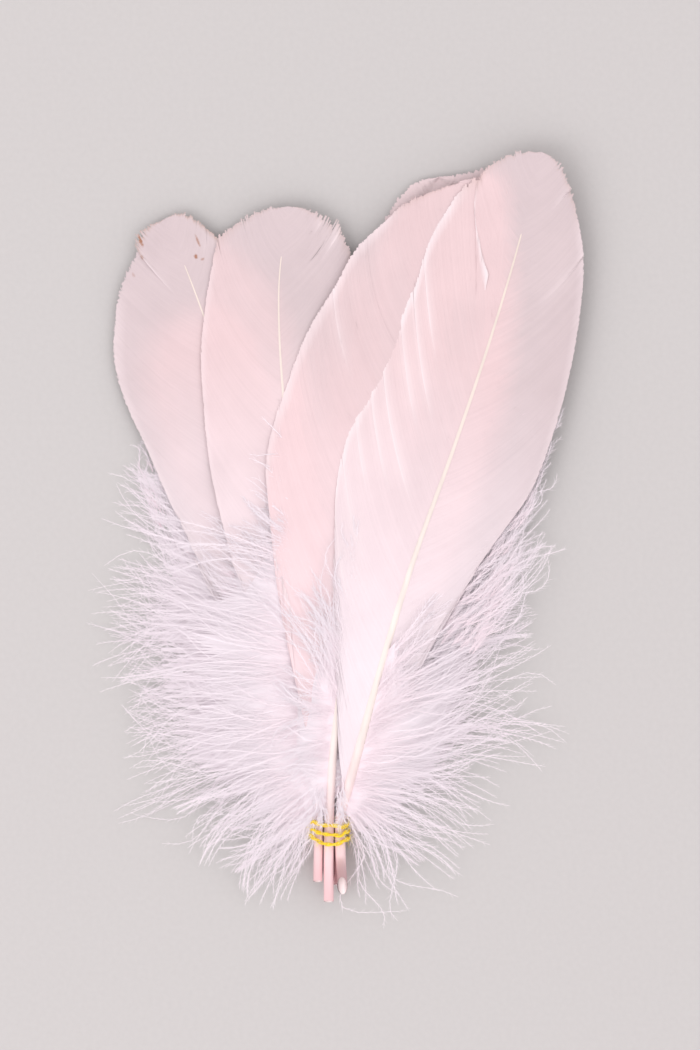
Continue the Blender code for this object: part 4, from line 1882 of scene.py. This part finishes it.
@dataclass(frozen=True)
class Tie:
    """The wound tie: two twisted plies that go round the quills in a squared-off oval.

    half_width and half_height are the oval's, middle_height its middle's height, half_length half the
    tie's length along the quills, and corner_power the oval's exponent. twist is how many half turns the
    plies make round each other in a millimetre, steps the rings in a turn of the thread, and fuzz how
    many loose fibres there are.
    """

    turns: float = 3.3
    half_width: float = 4.15
    half_height: float = 3.02
    middle_height: float = 3.52
    half_length: float = 2.55
    corner_power: float = 4.0
    sag: float = 1.1
    ply_radius: float = 0.27
    twist: float = 0.45
    steps: int = 110
    fuzz: int = 240

    def line(self) -> np.ndarray:
        """The thread's line.

        It is a superellipse round the quills, with y moving up the quills as it turns, evenly but for a
        slight waver. Over the top each turn sags towards the quill ends, the lowest turn most.

        Returns:
            (n, 3) places.
        """
        share = np.linspace(0.0, 1.0, int(self.turns * self.steps))
        angle = -0.5 * math.pi + 2.0 * math.pi * self.turns * share
        power = 2.0 / self.corner_power
        x = np.sign(np.cos(angle)) * np.abs(np.cos(angle)) ** power
        z = np.sign(np.sin(angle)) * np.abs(np.sin(angle)) ** power
        y = -self.half_length + 2.0 * self.half_length * share
        top = np.clip(np.sin(angle), 0.0, 1.0)
        y = y - self.sag * (1.2 - share) * top * (1.0 - 0.5 * x * x) + 0.5 * self.sag
        y = y + 0.28 * np.sin(3.1 * angle) + 0.12 * np.sin(7.3 * angle)
        return np.column_stack((x * self.half_width, y, self.middle_height + z * self.half_height))

    def make_fuzz(self, line: np.ndarray, outward: np.ndarray) -> Surface:
        """Loose fibres: thin three-sided spikes that leave the thread near its outer side, bent once.

        Args:
            line: The thread's line.
            outward: Directions away from the quills along it.

        Returns:
            All the fibres as one surface.
        """
        rng = np.random.default_rng(FUZZ_SEED)
        at = rng.integers(0, len(line), self.fuzz)
        side = rng.normal(0.0, 1.0, (self.fuzz, 3))
        heading = unit(side * (1.0, 1.6, 0.3) + 0.45 * outward[at])
        turned = unit(heading + 0.8 * rng.normal(0.0, 1.0, (self.fuzz, 3)) * (1.0, 1.0, 0.3))
        length = rng.uniform(0.8, 2.2, (self.fuzz, 1))
        start = line[at] + 0.7 * self.ply_radius * outward[at]
        middle = start + 0.5 * length * heading
        centres = np.stack((start, middle, middle + 0.5 * length * turned), 1)
        centres[..., 2] = np.maximum(centres[..., 2], LOWEST_FIBRE)
        radius = np.broadcast_to((0.07, 0.055, 0.02), centres.shape[:2])
        profile = np.array([(1.0, 0.0), (-0.5, 0.87), (-0.5, -0.87)])
        up = np.broadcast_to(outward[at][:, None], centres.shape)
        points = tubes(centres, up, profile, radius, radius)
        marks = {"fuzz": np.ones(points.size // 3)}
        fuzz = strips(points, 0, self.fuzz, 2, (0.0, 0.5, 1.0), (0.0, 0.5, 1.0), marks)
        fuzz.uv = fuzz.uv * (1.0, 0.5) + (0.0, 0.5)
        return fuzz

    def make(self) -> Surface:
        """The thread: two plies wound round its line, and loose fibres.

        Returns:
            Both as one surface. They take a half of the map each.
        """
        line = self.line()
        travel = unit(np.gradient(line, axis=0))
        outward = unit(np.column_stack((line[:, 0], np.zeros(len(line)), line[:, 2] - self.middle_height)))
        outward = unit(outward - travel * (outward * travel).sum(-1, keepdims=True))
        across = np.cross(travel, outward)
        walked = np.concatenate(([0.0], np.cumsum(np.linalg.norm(np.diff(line, axis=0), axis=1))))
        angle = walked * math.pi * self.twist
        plies = []
        for start in (0.0, math.pi):
            swing = across * np.cos(angle + start)[:, None] + outward * np.sin(angle + start)[:, None]
            plies.append(line + 0.8 * self.ply_radius * swing)
        centres = np.stack(plies)
        corners = np.linspace(0.0, 2.0 * math.pi, 8, endpoint=False)
        profile = np.column_stack((np.cos(corners), np.sin(corners)))
        radius = np.full(centres.shape[:2], self.ply_radius)
        up = np.broadcast_to(outward, centres.shape)
        points = tubes(centres, up, profile, radius, radius)
        along, share = np.linspace(0.0, 1.0, len(line)), np.linspace(0.0, 1.0, len(corners))
        thread = strips(points, 0, 2, 1, along, share, {"fuzz": np.zeros(points.size // 3)})
        thread.uv = thread.uv * (1.0, 0.5)
        return join([thread, self.make_fuzz(line, outward)])


# --- The studio -------------------------------------------------------------------------------------


@dataclass(frozen=True)
class Studio:
    """A pale floor, soft light from the left and a camera straight above, in metres and watts.

    aim is how far from the middle of the object's box the camera looks, and view_height how much of the
    floor its picture is high.
    """

    camera_height: float = 1.1
    view_height: float = 0.231
    aim: tuple = (0.0012, 0.0003)
    sensor: float = 36.0
    floor_size: float = 3.0
    key_place: tuple = (-0.85, -0.5, 0.95)
    key_power: float = 5.0
    key_size: float = 0.9
    fill_place: tuple = (0.7, 0.4, 1.1)
    fill_power: float = 2.0
    fill_size: float = 1.4
    sky: float = 0.975
    sky_colour: tuple = (1.0, 0.985, 0.985)

    def build(self, low: np.ndarray, high: np.ndarray) -> None:
        """Sets the floor, the lights and the camera round the object's box.

        Args:
            low: The box's lowest corner.
            high: The box's highest corner.
        """
        self.lay_floor()
        self.light("key", self.key_place, self.key_power, self.key_size)
        self.light("fill", self.fill_place, self.fill_power, self.fill_size)
        world = bpy.data.worlds.new("sky")
        world.use_nodes = True
        back = world.node_tree.nodes["Background"]
        back.inputs["Color"].default_value = rgba(self.sky_colour)
        back.inputs["Strength"].default_value = self.sky
        bpy.context.scene.world = world
        bpy.context.scene.view_settings.view_transform = "Standard"
        middle = (low + high) / 2.0
        self.set_camera(middle[0] + self.aim[0], middle[1] + self.aim[1])

    def lay_floor(self) -> None:
        """A large square floor at height zero."""
        half = self.floor_size / 2.0
        corners = [(-half, -half, 0.0), (half, -half, 0.0), (half, half, 0.0), (-half, half, 0.0)]
        mesh = bpy.data.meshes.new("floor")
        mesh.from_pydata(corners, [], [(0, 1, 2, 3)])
        mesh.materials.append(FloorFinish().make())
        floor = bpy.data.objects.new("floor", mesh)
        bpy.context.scene.collection.objects.link(floor)

    def light(self, name: str, place: tuple, power: float, size: float) -> None:
        """An area light that faces the object.

        Args:
            name: The light's name.
            place: Where it stands, in metres.
            power: Its power in watts.
            size: The side of its square.
        """
        lamp = bpy.data.lights.new(name, "AREA")
        lamp.energy = power
        lamp.size = size
        holder = bpy.data.objects.new(name, lamp)
        holder.location = place
        tilt = math.atan2(math.hypot(place[0], place[1]), place[2])
        holder.rotation_euler = (0.0, tilt, math.atan2(place[1], place[0]))
        bpy.context.scene.collection.objects.link(holder)

    def set_camera(self, x: float, y: float) -> None:
        """A long-lens camera that looks straight down, with +Y up in its picture.

        Args:
            x: Where it looks, in metres.
            y: The same along Y.
        """
        lens = bpy.data.cameras.new("camera")
        lens.sensor_width = self.sensor
        lens.lens = self.sensor * self.camera_height / self.view_height
        lens.clip_end = 10.0
        camera = bpy.data.objects.new("camera", lens)
        camera.location = (x, y, self.camera_height)
        bpy.context.scene.collection.objects.link(camera)
        bpy.context.scene.camera = camera


# --- Building ---------------------------------------------------------------------------------------


def dress(piece: bpy.types.Object, node: str) -> None:
    """Ties a piece to the body, hides the CAD node that it stands for, and reports it.

    Args:
        piece: The piece.
        node: The CAD node that it stands for.
    """
    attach(piece, BODY)
    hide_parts(node)
    triangles = sum(len(face.vertices) - 2 for face in piece.data.polygons)
    log.info("%s: %d triangles", piece.name, triangles)


def tie_middle() -> np.ndarray:
    """World place in metres of the plan's zero: the middle of the tie, at floor height."""
    low, high = (np.array(corner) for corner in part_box("yellow_tie"))
    return np.array(((low[0] + high[0]) / 2.0, (low[1] + high[1]) / 2.0, 0.0))


def main() -> None:
    """Builds the feathers, the tie and the studio."""
    logging.basicConfig(level=logging.INFO, format="%(message)s")
    origin = tie_middle()
    feathers = [
        front_feather(), second_feather(), tucked_feather(), left_feather(), creased_feather(),
        bottom_feather(),
    ]
    for feather in feathers:
        rng = np.random.default_rng(feather.seed)
        feather.barbs = [feather.lay_barbs(web, rng) for web in feather.webs]
    cover = Cover(feathers)
    shaft_finish, down_finish = ShaftFinish().make(), DownFinish().make()
    for feather in feathers:
        shaft = feather.make_shaft().place(f"{feather.name}_shaft", origin, shaft_finish)
        vane_finish = replace(feather.finish, stains=feather.marked(origin)).make()
        vane = feather.make_vane(cover).place(f"{feather.name}_vane", origin, vane_finish)
        down = feather.make_down().place(f"{feather.name}_down", origin, down_finish)
        # Real fluff lets most light through, so the down casts no shadow.
        down.visible_shadow = False
        for piece in (shaft, vane, down):
            dress(piece, feather.node)
    dress(Tie().make().place("tie_thread", origin, ThreadFinish().make()), "yellow_tie")
    low, high = (np.array(corner) for corner in CAD_BOX)
    Studio().build(low, high)


if __name__ == "__main__":
    main()
